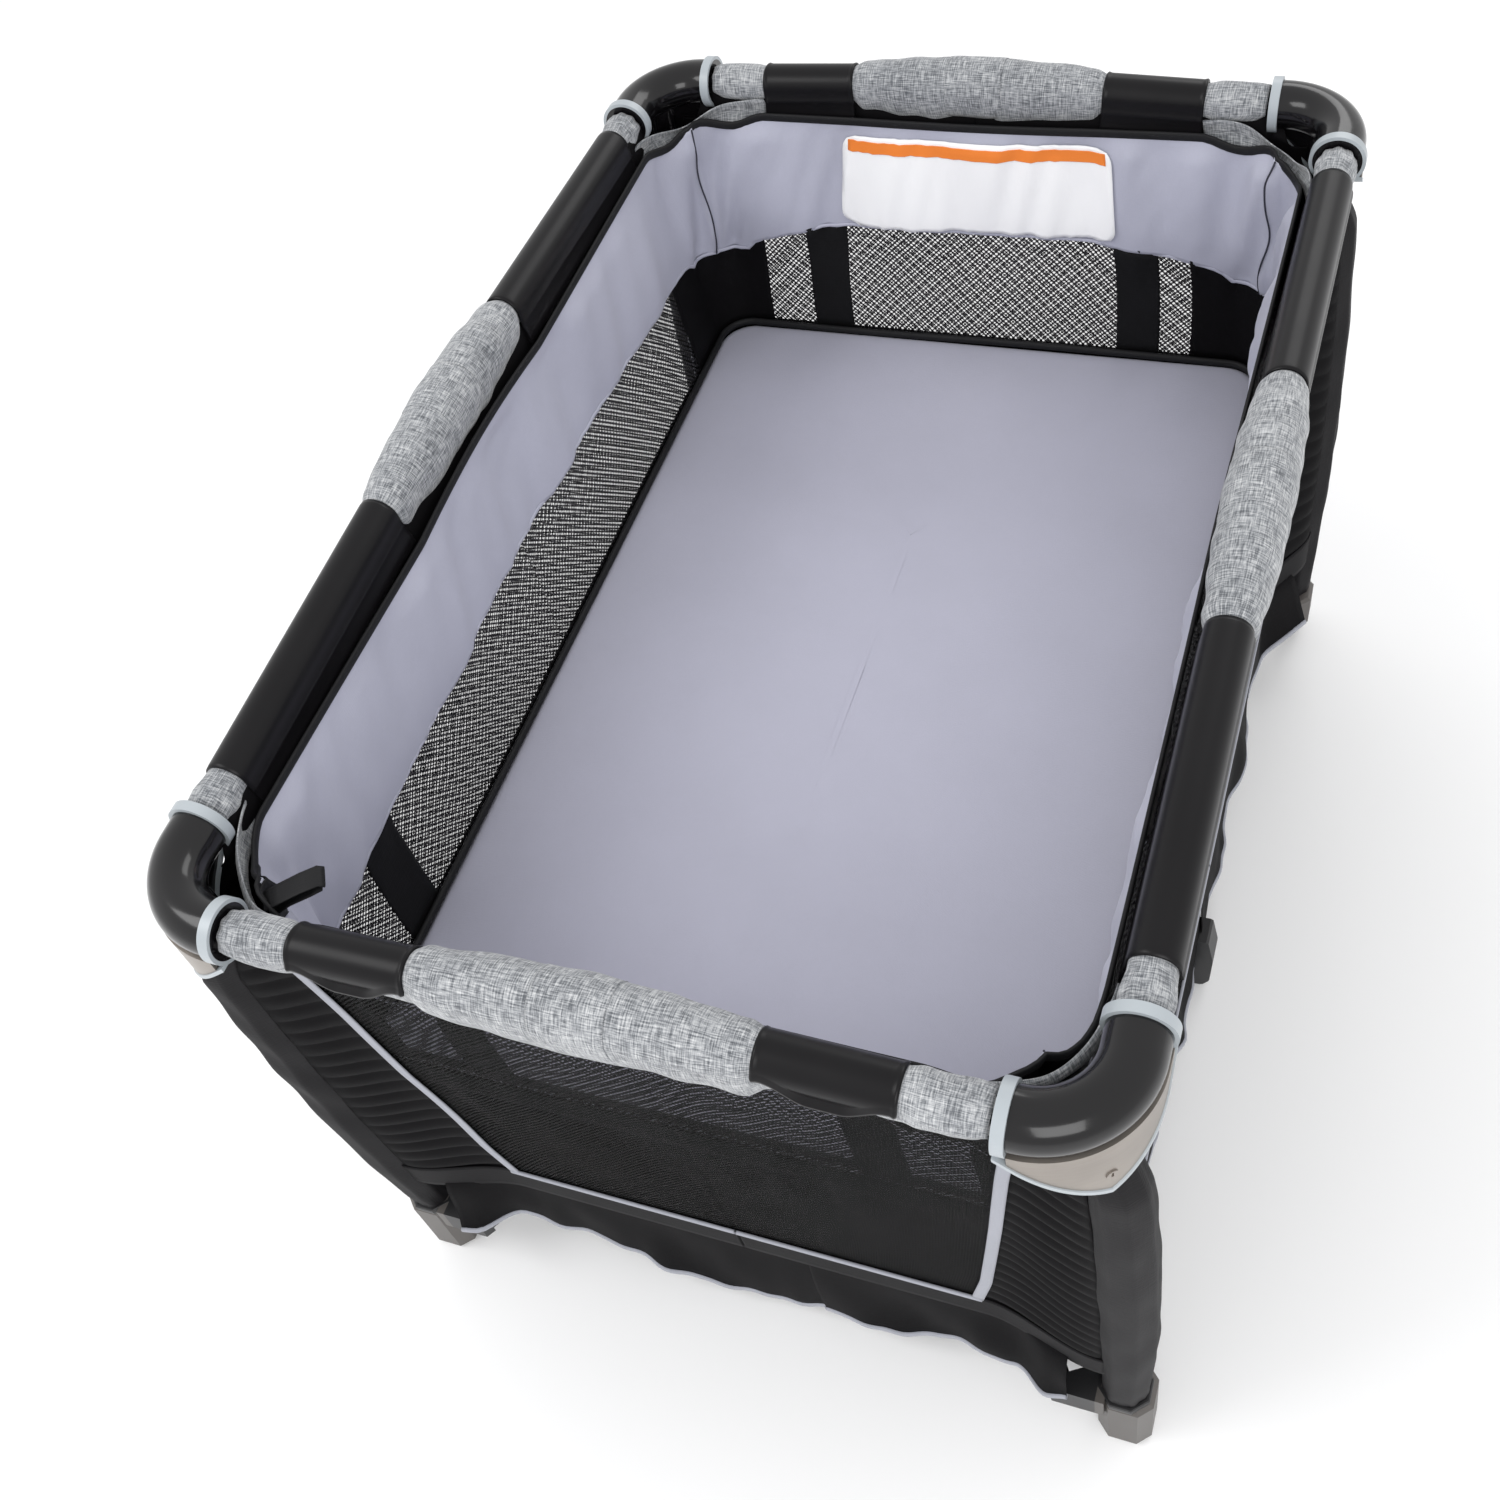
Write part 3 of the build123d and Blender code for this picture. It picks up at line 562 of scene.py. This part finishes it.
def rim_z(p):
    """Height of the top edge: held level by the clips, and a little lower between them."""
    p = np.asarray(p, float) % 4
    k, f = np.floor(p).astype(int), p % 1
    is_long = k % 2 == 1
    # No clip holds the edge between first and last on a side, and between start and end at a corner.
    first, last = np.where(is_long, 0.275, 0.191), np.where(is_long, 0.525, 0.609)
    middle = np.sin(np.pi * np.clip((f - first) / (last - first), 0, 1))
    start = np.where(f > 0.5, np.where(is_long, 0.802, 0.768), np.where(is_long, 0.768, 0.802))
    end = 1 + np.where((f > 0.5) == is_long, 0.032, 0.0)
    corner = np.clip((np.where(f > 0.5, f, f + 1) - start) / (end - start), 0, 1)
    dips = 0.010 * np.sin(2 * np.pi * corner) ** 2
    return TOP_Z - 0.0025 + np.where(is_long, 0.008, -0.001) * middle - dips


def band_hem(p):
    """Height of the lower hem of the grey upper band: lowest at the corners, arched between."""
    f = np.asarray(p, float) % 1
    middle = np.clip(np.sin(np.pi * np.clip(f / STRAIGHT, 0, 1)), 0, 1) ** 0.45
    return 0.500 + 0.034 * middle + 0.0025 * ripple(p, 0.0, 0.5, 1.0, 21)


def wall_point(p, z, off=0.0, crease=1.0):
    """The insert's wall with its wrinkles; off moves it outwards."""
    x, y, nx, ny = ring(p, z)
    t = np.clip((z - BASE_Z) / (TOP_Z - BASE_Z), 0, 1)
    f = np.asarray(p, float) % 1
    from_corner = (f - MID_CORNER + 0.5) % 1 - 0.5
    near_corner = np.exp(-((from_corner / 0.14) ** 2))
    free = smoothstep(t, 0.26, 0.48) * (1 - smoothstep(t, 0.88, 0.99))
    fold = 0.0042 * ripple(p, t * 0.30, 0.15, 0.7, 5) + 0.0030 * ripple(p, t * 0.25, 0.5, 0.5, 9)
    fold = fold + 0.0019 * ripple(p + 0.10 * t, t * 0.2, 0.06, 0.8, 15)
    fold = fold + 0.0008 * ripple(p - 0.12 * t, t * 0.3, 0.026, 0.9, 21)
    corner_fold = near_corner * 0.0050 * np.sin((f * 8 + t * 1.6) * 2 * np.pi)
    pinch = -0.007 * np.exp(-((from_corner / 0.010) ** 2)) * smoothstep(t, 0.3, 0.5)
    snug = -0.0018 * np.sin(np.pi * np.clip(f / STRAIGHT, 0, 1)) ** 2 * smoothstep(t, 0.85, 1.0)
    sag = -0.006 * np.sin(np.pi * t) * smoothstep(t, 0.3, 0.6)
    move = crease * (free * (fold + corner_fold + sag) + pinch) + snug - 0.0015 + off
    move = np.minimum(move, 0.001 + off)
    return np.stack([x + nx * move, y + ny * move, np.broadcast_to(z, x.shape)], axis=-1)


def places_round():
    """Places round the insert: even along each side, and close together round each corner."""
    parts = []
    for k in range(4):
        parts.append(k + np.linspace(0, STRAIGHT, 60 + 30 * (k % 2), endpoint=False))
        parts.append(k + np.linspace(STRAIGHT, 1.0, 18, endpoint=False))
    return np.concatenate(parts)


all_round = places_round()


def wall_grid(p, low, high, rows, off=0.0, crease=1.0):
    """Points of the insert's wall at the places p, from a low edge up to a high one."""
    share = np.linspace(0, 1, rows)
    return np.stack([wall_point(p, low + (high - low) * s, off, crease) for s in share], axis=1)


band_points = wall_grid(all_round, band_hem(all_round), rim_z(all_round), 40)[::-1]
band = surface("insert_band", band_points, NYLON, closed_u=True, thick=0.0008)
# The band's outer face, made by its thickness, is black cloth; its inner face stays grey nylon.
band.data.materials.append(BLACK)
band.modifiers["thickness"].material_offset = 1
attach(band, "bassinet")
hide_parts("bassinet_walls")
mesh_points = wall_grid(all_round, BASE_Z, band_hem(all_round) + 0.004, 14, 0.0016)
mesh_ring = surface("insert_mesh", mesh_points, INNER_NET, closed_u=True, thick=0.0006)
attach(mesh_ring, "bassinet")


def wall_patch(name, p_low, p_high, low, high, material, off, rows=12, columns=16):
    """A flat piece sewn on the insert's wall between two places round it."""
    p = np.linspace(p_low, p_high, columns)
    bottom = low(p) if callable(low) else low
    top = high(p) if callable(high) else high
    made = surface(name, wall_grid(p, bottom, top, rows, off), material, thick=0.0007)
    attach(made, "bassinet")
    return made


def side_p(side, along):
    """The place round the insert of a point along one side: x on sides 0 and 2, y on 1 and 3."""
    half = (MATTRESS_HIGH[0] - 0.036) if side % 2 == 0 else (MATTRESS_HIGH[1] - 0.036)
    way = 1 if side in (0, 1) else -1
    return side + STRAIGHT * (way * along + half) / (2 * half)


def hem_top(p):
    return band_hem(p) + 0.003


# Webbing straps: the side, and where the strap starts and ends along it.
STRAPS = [
    (2, 0.134, 0.175),
    (2, -0.177, -0.136),
    (0, 0.134, 0.175),
    (0, -0.175, -0.134),
    (3, -0.345, -0.298),
    (1, -0.345, -0.298),
]
for k, (side, start, stop) in enumerate(STRAPS):
    ends = sorted((side_p(side, start), side_p(side, stop)))
    strap = wall_patch(f"insert_strap_{k}", *ends, BASE_Z, hem_top, WEBBING, 0.0004)

# Corner panels: the side where each starts, its start on that side and its end on the next.
CORNER_PANELS = [
    ("rl", 2, -0.224, 0.355),
    ("rr", 1, 0.350, 0.205),
    ("fl", 3, -0.402, -0.225),
    ("fr", 0, 0.225, -0.402),
]
for tag, side, x_in, y_in in CORNER_PANELS:
    first = side_p(side, x_in)
    last = side_p((side + 1) % 4, y_in)
    if last < first:
        last += 4
    panel = wall_patch(f"insert_corner_{tag}", first, last, BASE_Z, hem_top, BLACK, 0.0006, columns=44)
    outline = wall_point(np.linspace(first, last, 60), 0.45)[:, :2]

tray_points = wall_grid(all_round, MATTRESS_LOW[2] - 0.003, BASE_Z + 0.002, 6, 0.0024, 0.0)
tray = surface("insert_tray", tray_points, BLACK, closed_u=True, thick=0.0008)
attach(tray, "bassinet")
low_line = wall_point(all_round, np.full_like(all_round, BASE_Z + 0.001), -0.004, 0.0)
low_line[:, 2] += 0.0015 * ripple(all_round, 0.0, 0.7, 1, 31)
low_binding = tube("insert_low_binding", low_line, BINDING, 0.006, 0.008, closed=True)
top_line = wall_point(all_round, rim_z(all_round) - 0.001, -0.0005, 0.6)
top_binding = tube("insert_top_binding", top_line, BINDING, 0.0034, 0.0080, closed=True, square=3.0)
hem_line = wall_point(all_round, band_hem(all_round), -0.001, 0.6)
hem_seam = tube("insert_band_hem", hem_line, NYLON, 0.0022, 0.004, closed=True, sides=8)
for trim in (low_binding, top_binding, hem_seam):
    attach(trim, "bassinet")

for k in range(3):
    share = np.linspace(0, 1, 30)
    corner = k + MID_CORNER
    place = corner + 0.004 * np.sin(9 * share + k)
    heights = band_hem(corner) + (rim_z(corner) - band_hem(corner)) * share
    line = wall_point(place, heights, -0.0008)
    seam = tube(f"insert_corner_seam_{k}", line, SEAM, 0.0016, sides=6, up=Vector((1, 0.3, 0)))
    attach(seam, "bassinet")

PATCH_LOW, PATCH_HIGH, PATCH_HALF, PATCH_ROUND = 0.536, 0.628, 0.1375, 0.014


def blank_patch():
    """A plain sewn-in patch with rounded corners and a coloured strip along its top."""
    place = np.linspace(side_p(2, PATCH_HALF), side_p(2, -PATCH_HALF), 48)
    middle = place.mean()
    made = []
    for name, low, high, narrow, material, off in (
        ("blank_patch", PATCH_LOW, PATCH_HIGH, 0.0, PATCH_WHITE, -0.0030),
        ("blank_patch_header", PATCH_HIGH - 0.0155, PATCH_HIGH - 0.0045, 0.045, PATCH_HEAD, -0.0040),
    ):
        rows = []
        for z in low + (high - low) * np.linspace(0, 1, 26):
            depth = 0.0 if narrow else np.clip(1 - min(z - low, high - z) / PATCH_ROUND, 0, 1)
            width = 1 - PATCH_ROUND / PATCH_HALF * (1 - math.sqrt(1 - depth**2)) - narrow
            sewn = middle + (place - middle) * width
            rows.append(wall_point(sewn, np.full_like(sewn, z), off))
        made.append(surface(name, np.stack(rows, axis=1), material, thick=0.0007))
        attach(made[-1], "bassinet")


blank_patch()


def mattress_shape():
    """The mattress: a thin pad with soft edges and a slightly uneven top."""
    half_x, half_y = MATTRESS_HIGH[0], MATTRESS_HIGH[1]
    low, high, edge = MATTRESS_LOW[2], MATTRESS_Z, 0.010
    profile = [(0.004, low), (0.0, low + 0.005), (0.0, high - edge)]
    for t in np.linspace(0.3, math.pi / 2, 6):
        profile.append((edge * (1 - math.cos(t)), high - edge + edge * math.sin(t)))
    profile += [(edge + d, high) for d in (0.008, 0.02, 0.04, 0.07, 0.10, 0.14, 0.18, 0.22, 0.25, 0.268)]
    turns = np.concatenate([np.linspace(k, k + 1, 50, endpoint=False) for k in range(4)])
    rows = []
    for inset, z in profile:
        a, b = half_x - inset, half_y - inset
        r = max(0.004, 0.034 - inset * 0.5)
        k, f = np.floor(turns).astype(int), turns % 1
        flat, turn = np.clip(f / 0.7, 0, 1), np.clip((f - 0.7) / 0.3, 0, 1) * np.pi / 2
        is_long = k % 2 == 1
        half, off = np.where(is_long, b - r, a - r), np.where(is_long, a, b)
        x = -half + 2 * half * flat + np.where(f > 0.7, r * np.sin(turn), 0)
        y = off - np.where(f > 0.7, r * (1 - np.cos(turn)), 0)
        c, s = np.array([1, 0, -1, 0])[k], np.array([0, 1, 0, -1])[k]
        px, py = x * c + y * s, x * s - y * c
        lift = 0.0009 * ripple(px, py, 0.30, 0.4, 41) + 0.0004 * ripple(px, py, 0.08, 0.1, 43)
        lift = lift * smoothstep(inset, 0.0, 0.03)
        seam = -0.0006 * np.exp(-((np.abs(py) - 0.223) / 0.006) ** 2) - 0.0006 * np.exp(-(py / 0.006) ** 2)
        rows.append(np.stack([px, py, z + lift + seam * smoothstep(inset, 0.01, 0.03) - 0.0006], axis=-1))
    made = surface("insert_mattress", np.array(rows), MATTRESS, closed_v=True)
    cap_ends(made, len(rows), len(turns))
    made.data.materials.append(BLACK)
    for face in made.data.polygons:
        face.material_index = int(face.center.z < MATTRESS_LOW[2] + 0.006)
    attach(made, "bassinet")
    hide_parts("mattress")


mattress_shape()


def corner_gusset(tag, corner):
    """The strip of rail cloth that runs on behind the elbow, from one rail's sleeve to the other's."""
    from_short = int(corner) % 2 == 0
    before, after = (0.130, 0.097) if from_short else (0.097, 0.130)
    place = np.linspace(corner - before, corner + after, 40)
    share = np.linspace(0, 1, 7)
    middle = np.exp(-(((place - corner) / 0.055) ** 2))
    rows = []
    for t in share:
        z = 0.628 + t * (0.027 - 0.016 * middle) + 0.0012 * ripple(place, 0.0, 0.08, 1, 61)
        row = wall_point(place, z, 0.006 + 0.004 * math.sin(math.pi * t), 0.0)
        rows.append(row)
    grid = np.stack(rows, axis=1)
    made = surface(f"corner_gusset_{tag}", grid, HEATHER, thick=0.001)
    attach(made, f"post_{tag}")


for k, corner_tag in enumerate(("fr", "rr", "rl", "fl")):
    corner_gusset(corner_tag, k + MID_CORNER)


def corner_low(p):
    return rim_z(p) - 0.006 - 0.026 * np.exp(-(((p - 3.92) / 0.028) ** 2))


def corner_high(p):
    return rim_z(p) - 0.001


# Wide binding with a folded loop stands in the front left corner.
corner_binding = wall_patch(
    "insert_corner_binding", 3.860, 3.965, corner_low, corner_high, BINDING, -0.0022, rows=10, columns=34
)
loop_root = Vector(wall_point(np.array([3.93]), np.array([0.634]))[0])
loop_way = Vector((0.86, 0.51, 0))
loop_steps = ((-0.002, -0.012), (0.006, -0.003), (0.018, 0.003), (0.034, 0.007), (0.043, 0.010))
loop_steps += ((0.046, 0.013), (0.042, 0.016), (0.028, 0.013), (0.012, 0.008), (0.0, 0.004))
loop_line = [loop_root + loop_way * a + Vector((0, 0, h)) for a, h in loop_steps]
loop_tab = tube("insert_loop_tab", loop_line, BINDING, 0.018, 0.0016, square=4.0, sides=12)
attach(loop_tab, "bassinet")


# ---------------------------------------------------------------- legs


def leg_line(tag, z):
    """The middle of a leg's sleeve at a height: it bows outwards between elbow and foot."""
    sx, sy = CORNERS[tag]
    t = (z - 0.085) / (0.605 - 0.085)
    bow = np.sin(np.pi * np.clip(t, 0, 1)) ** 0.8
    tuck = smoothstep(z, 0.555, 0.598)
    x = 0.3275 - 0.0055 * t + 0.0065 * bow - 0.0070 * tuck
    y = 0.4465 + 0.0205 * t + 0.0045 * bow - 0.0055 * tuck
    return sx * x, sy * y


def leg_sleeve(tag):
    """A leg's cloth sleeve, drawn tight into eight soft edges, and the plain cuff at its foot."""
    low, high = FOOT_TOP - 0.012, 0.612
    angle = np.linspace(0, 2 * np.pi, 64, endpoint=False)
    facets = np.pi / 4
    seed = sum(map(ord, tag))
    rows = []
    for z in np.linspace(low, high, 80):
        t = (z - low) / (high - low)
        size = 0.0175 + 0.0035 * math.sin(math.pi * t) ** 0.7 - 0.0020 * float(smoothstep(z, 0.555, 0.598))
        local = (angle + facets / 2) % facets - facets / 2
        radius = size / np.cos(local) * (1 - 0.012 * (np.abs(local) / (facets / 2)) ** 6)
        crease = 0.0007 * ripple(angle * 0.02, z, 0.05, 0.10, seed)
        crease = crease + 0.0006 * np.sin(z * 900 + 4 * np.sin(angle * 3)) * (t < 0.06)
        x0, y0 = leg_line(tag, z)
        x = x0 + (radius + crease) * np.cos(angle)
        y = y0 + (radius + crease) * np.sin(angle)
        rows.append(np.stack([x, y, np.full_like(x, z)], axis=-1))
    made = surface(f"leg_sleeve_{tag}", np.array(rows), LEG_CLOTH, closed_v=True, thick=0.0008)
    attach(made, f"post_{tag}")
    x, y = leg_line(tag, low)
    cuff_line = [
        (x + 0.0215 * math.cos(a), y + 0.0215 * math.sin(a), FOOT_TOP - 0.004)
        for a in np.linspace(0, 2 * np.pi, 9)[:-1] + np.pi / 8
    ]
    cuff = tube(f"leg_cuff_{tag}", cuff_line, DARK, 0.005, 0.009, closed=True, square=3.0)
    cuff.data.polygons.foreach_set("use_smooth", [False] * len(cuff.data.polygons))
    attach(cuff, f"post_{tag}")


for corner_tag in CORNERS:
    leg_sleeve(corner_tag)


# ---------------------------------------------------------------- walls of the yard


BAND_LOW, BAND_HIGH, WALL_TOP = 0.156, 0.196, 0.640
SIDES = {
    "front": dict(axis=0, sign=-1, posts=dict(a="fl", b="fr")),
    "rear": dict(axis=0, sign=1, posts=dict(a="rl", b="rr")),
    "left": dict(axis=1, sign=-1, posts=dict(a="fl", b="rl")),
    "right": dict(axis=1, sign=1, posts=dict(a="fr", b="rr")),
}
SIGN = {"a": -1, "b": 1}


def wall_depth(side, z):
    """How far out the yard's fabric hangs at a height: inside the rails, so that they drop past it."""
    if SIDES[side]["axis"] == 0:
        heights = (0.0, 0.155, 0.195, 0.30, 0.40, 0.50, 0.58, 0.60, 0.635, 0.664)
        depths = (0.438, 0.440, 0.4415, 0.448, 0.456, 0.461, 0.466, 0.468, 0.472, 0.4755)
        return np.interp(z, heights, depths)
    heights = (0.0, 0.155, 0.195, 0.25, 0.30, 0.45, 0.54, 0.58, 0.65, 0.664)
    depths = (0.306, 0.309, 0.310, 0.304, 0.2975, 0.2975, 0.302, 0.306, 0.3085, 0.3115)
    return np.interp(z, heights, depths)


def leg_edge(side, z):
    """Where the fabric meets the leg: how far along the side, and how far out."""
    x, y = (abs(v) for v in leg_line("rr", np.asarray(z, float)))
    return (x - 0.019, y + 0.010) if SIDES[side]["axis"] == 0 else (y - 0.019, x + 0.010)


def piping_at(side, z):
    """Half the width between the two grey pipings at a height."""
    if SIDES[side]["axis"] == 0:
        return np.interp(z, (0.195, 0.25, 0.40, 0.505, 0.65), (0.208, 0.219, 0.237, 0.248, 0.266))
    return np.interp(z, (0.195, 0.25, 0.40, 0.505, 0.65), (0.355, 0.368, 0.386, 0.396, 0.412))


def yard_point(side, along, z, off=0.0, ribs=None, crease=1.0):
    """A point of the yard's fabric: along is from the middle of the side."""
    info = SIDES[side]
    along, z = np.broadcast_arrays(np.asarray(along, float), np.asarray(z, float))
    edge, out = leg_edge(side, z)
    pipe = piping_at(side, z)
    base = wall_depth(side, z)
    share = smoothstep(np.abs(along), pipe + 0.004, edge)
    depth = base + (out - base) * share
    slack = smoothstep(z, 0.20, 0.35) * (1 - smoothstep(z, 0.56, 0.64))
    seed = 50 + len(side)
    swing = 0.0022 if info["axis"] == 0 else 0.0010
    wave = ripple(along, z, 0.22, 0.35, seed) * swing + ripple(along, z, 0.07, 0.5, seed + 1) * 0.36 * swing
    depth = depth + crease * slack * wave * (1 - share)
    if ribs is not None:
        depth = depth + ribs
    depth = depth + off
    flat = info["sign"] * depth
    if info["axis"] == 0:
        return np.stack([along, flat, z], axis=-1)
    return np.stack([flat, along, z], axis=-1)


def fold_with(made, side, end):
    """Lets half a wall ride on its post, with a mesh of its own."""
    info = SIDES[side]
    tag = info["posts"][end]
    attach(made, f"post_{tag}")
    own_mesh(made)


def shares(end, count, first=0.0):
    """Shares of the way from the middle of a side to one end, in the order of their places."""
    return np.linspace(first, 1, count)[:: SIGN[end]]


def yard_window(side, end):
    """The mesh window of half a side, with a plain black strip under the rail."""
    span = shares(end, 50 if SIDES[side]["axis"] == 0 else 70) * SIGN[end]
    heights = np.linspace(BAND_HIGH, WALL_TOP + 0.022, 63)
    grid = np.stack([yard_point(side, span * piping_at(side, z), z) for z in heights], axis=1)
    window = surface(f"yard_window_{side}_{end}", grid, OUTER_NET, thick=0.0006)
    window.data.materials.append(BLACK)
    for face in window.data.polygons:
        face.material_index = int(face.center.z > WALL_TOP - 0.030)
    return window


def yard_corner(side, end):
    """The ribbed black panel between the window's piping and the leg."""
    sign = SIGN[end]
    share = shares(end, 22)
    corner_top = WALL_TOP + 0.012 - 0.022 * smoothstep(share, 0.1, 0.6)
    rows = []
    for level in np.linspace(0, 1, 300):
        z = BAND_HIGH - 0.008 + (corner_top - BAND_HIGH + 0.008) * level
        edge, _ = leg_edge(side, z)
        pipe = piping_at(side, z)
        phase = (z + 0.012 * share) / 0.020
        rib = 0.0030 * np.sin(np.pi * share) ** 0.5 * (np.abs(np.sin(np.pi * phase)) - 0.6)
        rows.append(yard_point(side, sign * (pipe + (edge - pipe) * share), z, 0.0, rib))
    panel = surface(f"yard_corner_{side}_{end}", np.stack(rows, axis=1), BLACK, thick=0.0008)
    return panel


def yard_belt(side, end):
    """The heavier band that runs from leg to leg under the window."""
    reach = float(leg_edge(side, BAND_LOW)[0]) + 0.004
    spread = shares(end, 70, -0.004) * SIGN[end]
    heights = np.linspace(BAND_LOW, BAND_HIGH, 8)
    grid = np.stack([yard_point(side, spread * reach, z, 0.0012, crease=0.3) for z in heights], axis=1)
    belt = surface(f"yard_band_{side}_{end}", grid, BLACK_SOFT, thick=0.0014)
    return belt


def yard_pipings(side, end):
    """The grey pipings beside and under the window."""
    heights = np.linspace(BAND_HIGH + 0.001, WALL_TOP - 0.004, 40)
    line = yard_point(side, SIGN[end] * piping_at(side, heights), heights, 0.0024)
    way = Vector((0, 1, 0)) if SIDES[side]["axis"] == 0 else Vector((1, 0, 0))
    upright = tube(f"yard_piping_{side}_{end}", line, PIPING, 0.0024, 0.0100, up=way.cross(UP), square=3.0)
    span = np.linspace(-0.001, float(piping_at(side, BAND_HIGH)) + 0.004, 40) * SIGN[end]
    line = yard_point(side, span, BAND_HIGH + 0.001, 0.0028, crease=0.3)
    level = tube(f"yard_piping_low_{side}_{end}", line, PIPING, 0.0030, 0.0050, square=3.0)
    return [upright, level]


def yard_half_wall(side, end):
    """Half of a side's fabric, from the middle to its leg."""
    window, corner, belt = yard_window(side, end), yard_corner(side, end), yard_belt(side, end)
    for thing in [window, corner, belt, *yard_pipings(side, end)]:
        fold_with(thing, side, end)
    for thing in yard_skirt(side, end):
        fold_with(thing, side, end)


def yard_skirt(side, end):
    """A loose flap that hangs below the band, with a grey hem."""
    half = 0.284 if SIDES[side]["axis"] == 0 else 0.402
    slit = 0.060 if side == "front" else 0.0
    a, b = (-half, slit + 0.003) if end == "a" else (slit - 0.003, half)
    along = np.linspace(a, b, 70)
    t = (along + half) / (2 * half)
    low = 0.090 - 0.058 * np.sin(np.pi * t) ** 1.2 + 0.006 * ripple(along, 0.0, 0.16, 1.0, 70 + len(side))
    rows = []
    for share in np.linspace(0, 1, 14):
        z = BAND_LOW + 0.010 - share * (BAND_LOW + 0.010 - low)
        wave = share * 0.006 * ripple(along, share, 0.16, 2.0, 81 + len(side))
        wave = wave + share * 0.002 * ripple(along, share, 0.05, 2.0, 82)
        flare = 0.004 * share
        over = 0.018 * smoothstep(np.abs(along), half - 0.050, half - 0.015) * share**0.5
        under = -0.003 if end == "a" else -0.0005
        rows.append(yard_point(side, along, z, under + wave + flare + over, crease=0.0))
    grid = np.stack(rows, axis=1)
    flap = surface(f"yard_skirt_{side}_{end}", grid, BLACK, thick=0.0008)
    hem = tube(f"yard_skirt_hem_{side}_{end}", grid[:, -1], PIPING, 0.0046, 0.0060, square=3.0)
    return [flap, hem]


for wall_side in SIDES:
    for wall_end in ("a", "b"):
        yard_half_wall(wall_side, wall_end)
    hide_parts(f"side_panel_{wall_side}")


# ---------------------------------------------------------------- floor of the yard


def floor_quarter(tag):
    """A quarter of the yard's cloth floor. It rides on its strut."""
    sx, sy = CORNERS[tag]
    u, v = np.meshgrid(np.linspace(-0.012, 1, 26), np.linspace(-0.008, 1, 34), indexing="ij")
    x, y = u * 0.302, v * 0.436
    rise = smoothstep(np.maximum(u, v), 0.80, 1.0) * (0.050 - 0.030 * smoothstep(np.minimum(u, v), 0.85, 1.0))
    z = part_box("floor_fabric")[0][2] + rise + 0.0010 * ripple(x, y, 0.12, 0.15, 90)
    made = surface(f"yard_floor_{tag}", np.stack([sx * x, sy * y, z], axis=-1), BLACK, thick=0.0008)
    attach(made, f"strut_{tag}")
    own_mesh(made)
    return made


quarters = [floor_quarter(tag) for tag in CORNERS]
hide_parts("floor_fabric")

strap_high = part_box("hub_pull_strap")[1]
u, v = np.meshgrid(np.linspace(-1, 1, 8), np.linspace(-1, 1, 40), indexing="ij")
strap_x, strap_y = u * 0.012, v * 0.054
strap_z = strap_high[2] + 0.0005 + 0.004 * smoothstep(np.abs(v), 0.55, 1.0) * (1 + 0.2 * u)
pull = surface("hub_pull_tab", np.stack([strap_x, strap_y, strap_z], axis=-1), WEBBING, thick=0.0016)
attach(pull, "hub")
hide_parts("hub_pull_strap")


# ---------------------------------------------------------------- stage, light and camera


def pale(name, colour, rough):
    return Shader(name, Base_Color=colour, Roughness=rough).material


bpy.ops.mesh.primitive_plane_add(size=12, location=(0, 0, -0.0005))
floor = bpy.context.object
floor.name = "stage_floor"
floor.data.materials.append(pale("stage_pale", (0.97, 0.97, 0.975, 1), 0.9))

world = bpy.data.worlds.new("studio")
bpy.context.scene.world = world
world.use_nodes = True
world.node_tree.nodes["Background"].inputs["Color"].default_value = (1, 1, 1, 1)
world.node_tree.nodes["Background"].inputs["Strength"].default_value = 0.95


def area_light(name, place, target, size, power):
    data = bpy.data.lights.new(name, "AREA")
    data.shape = "RECTANGLE"
    data.size, data.size_y = size
    data.energy = power
    made = bpy.data.objects.new(name, data)
    made.location = place
    made.rotation_mode = "QUATERNION"
    made.rotation_quaternion = (Vector(target) - Vector(place)).to_track_quat("-Z", "Y")
    bpy.context.scene.collection.objects.link(made)


area_light("key", (-1.6, -1.2, 2.6), (0, 0, 0.4), (1.6, 1.0), 24)
area_light("fill", (1.2, -2.3, 1.9), (0, 0, 0.4), (1.4, 1.4), 26)
area_light("back", (0.6, 2.4, 2.2), (0, 0, 0.4), (1.8, 0.9), 14)

cam_data = bpy.data.cameras.new("camera")
cam_data.lens = 40.72
cam_data.sensor_width = 36
cam = bpy.data.objects.new("camera", cam_data)
camera_place = Vector((0.4023, -0.8772, 1.5564))
right = Vector((0.93285, 0.32011, -0.16529))
camera_up = Vector((-0.16385, 0.78556, 0.59670))
back = right.cross(camera_up)
turned = Matrix((right, camera_up, back)).transposed().to_4x4()
cam.matrix_world = Matrix.Translation(camera_place) @ turned
bpy.context.scene.collection.objects.link(cam)
bpy.context.scene.camera = cam
bpy.context.scene.view_settings.view_transform = "Standard"
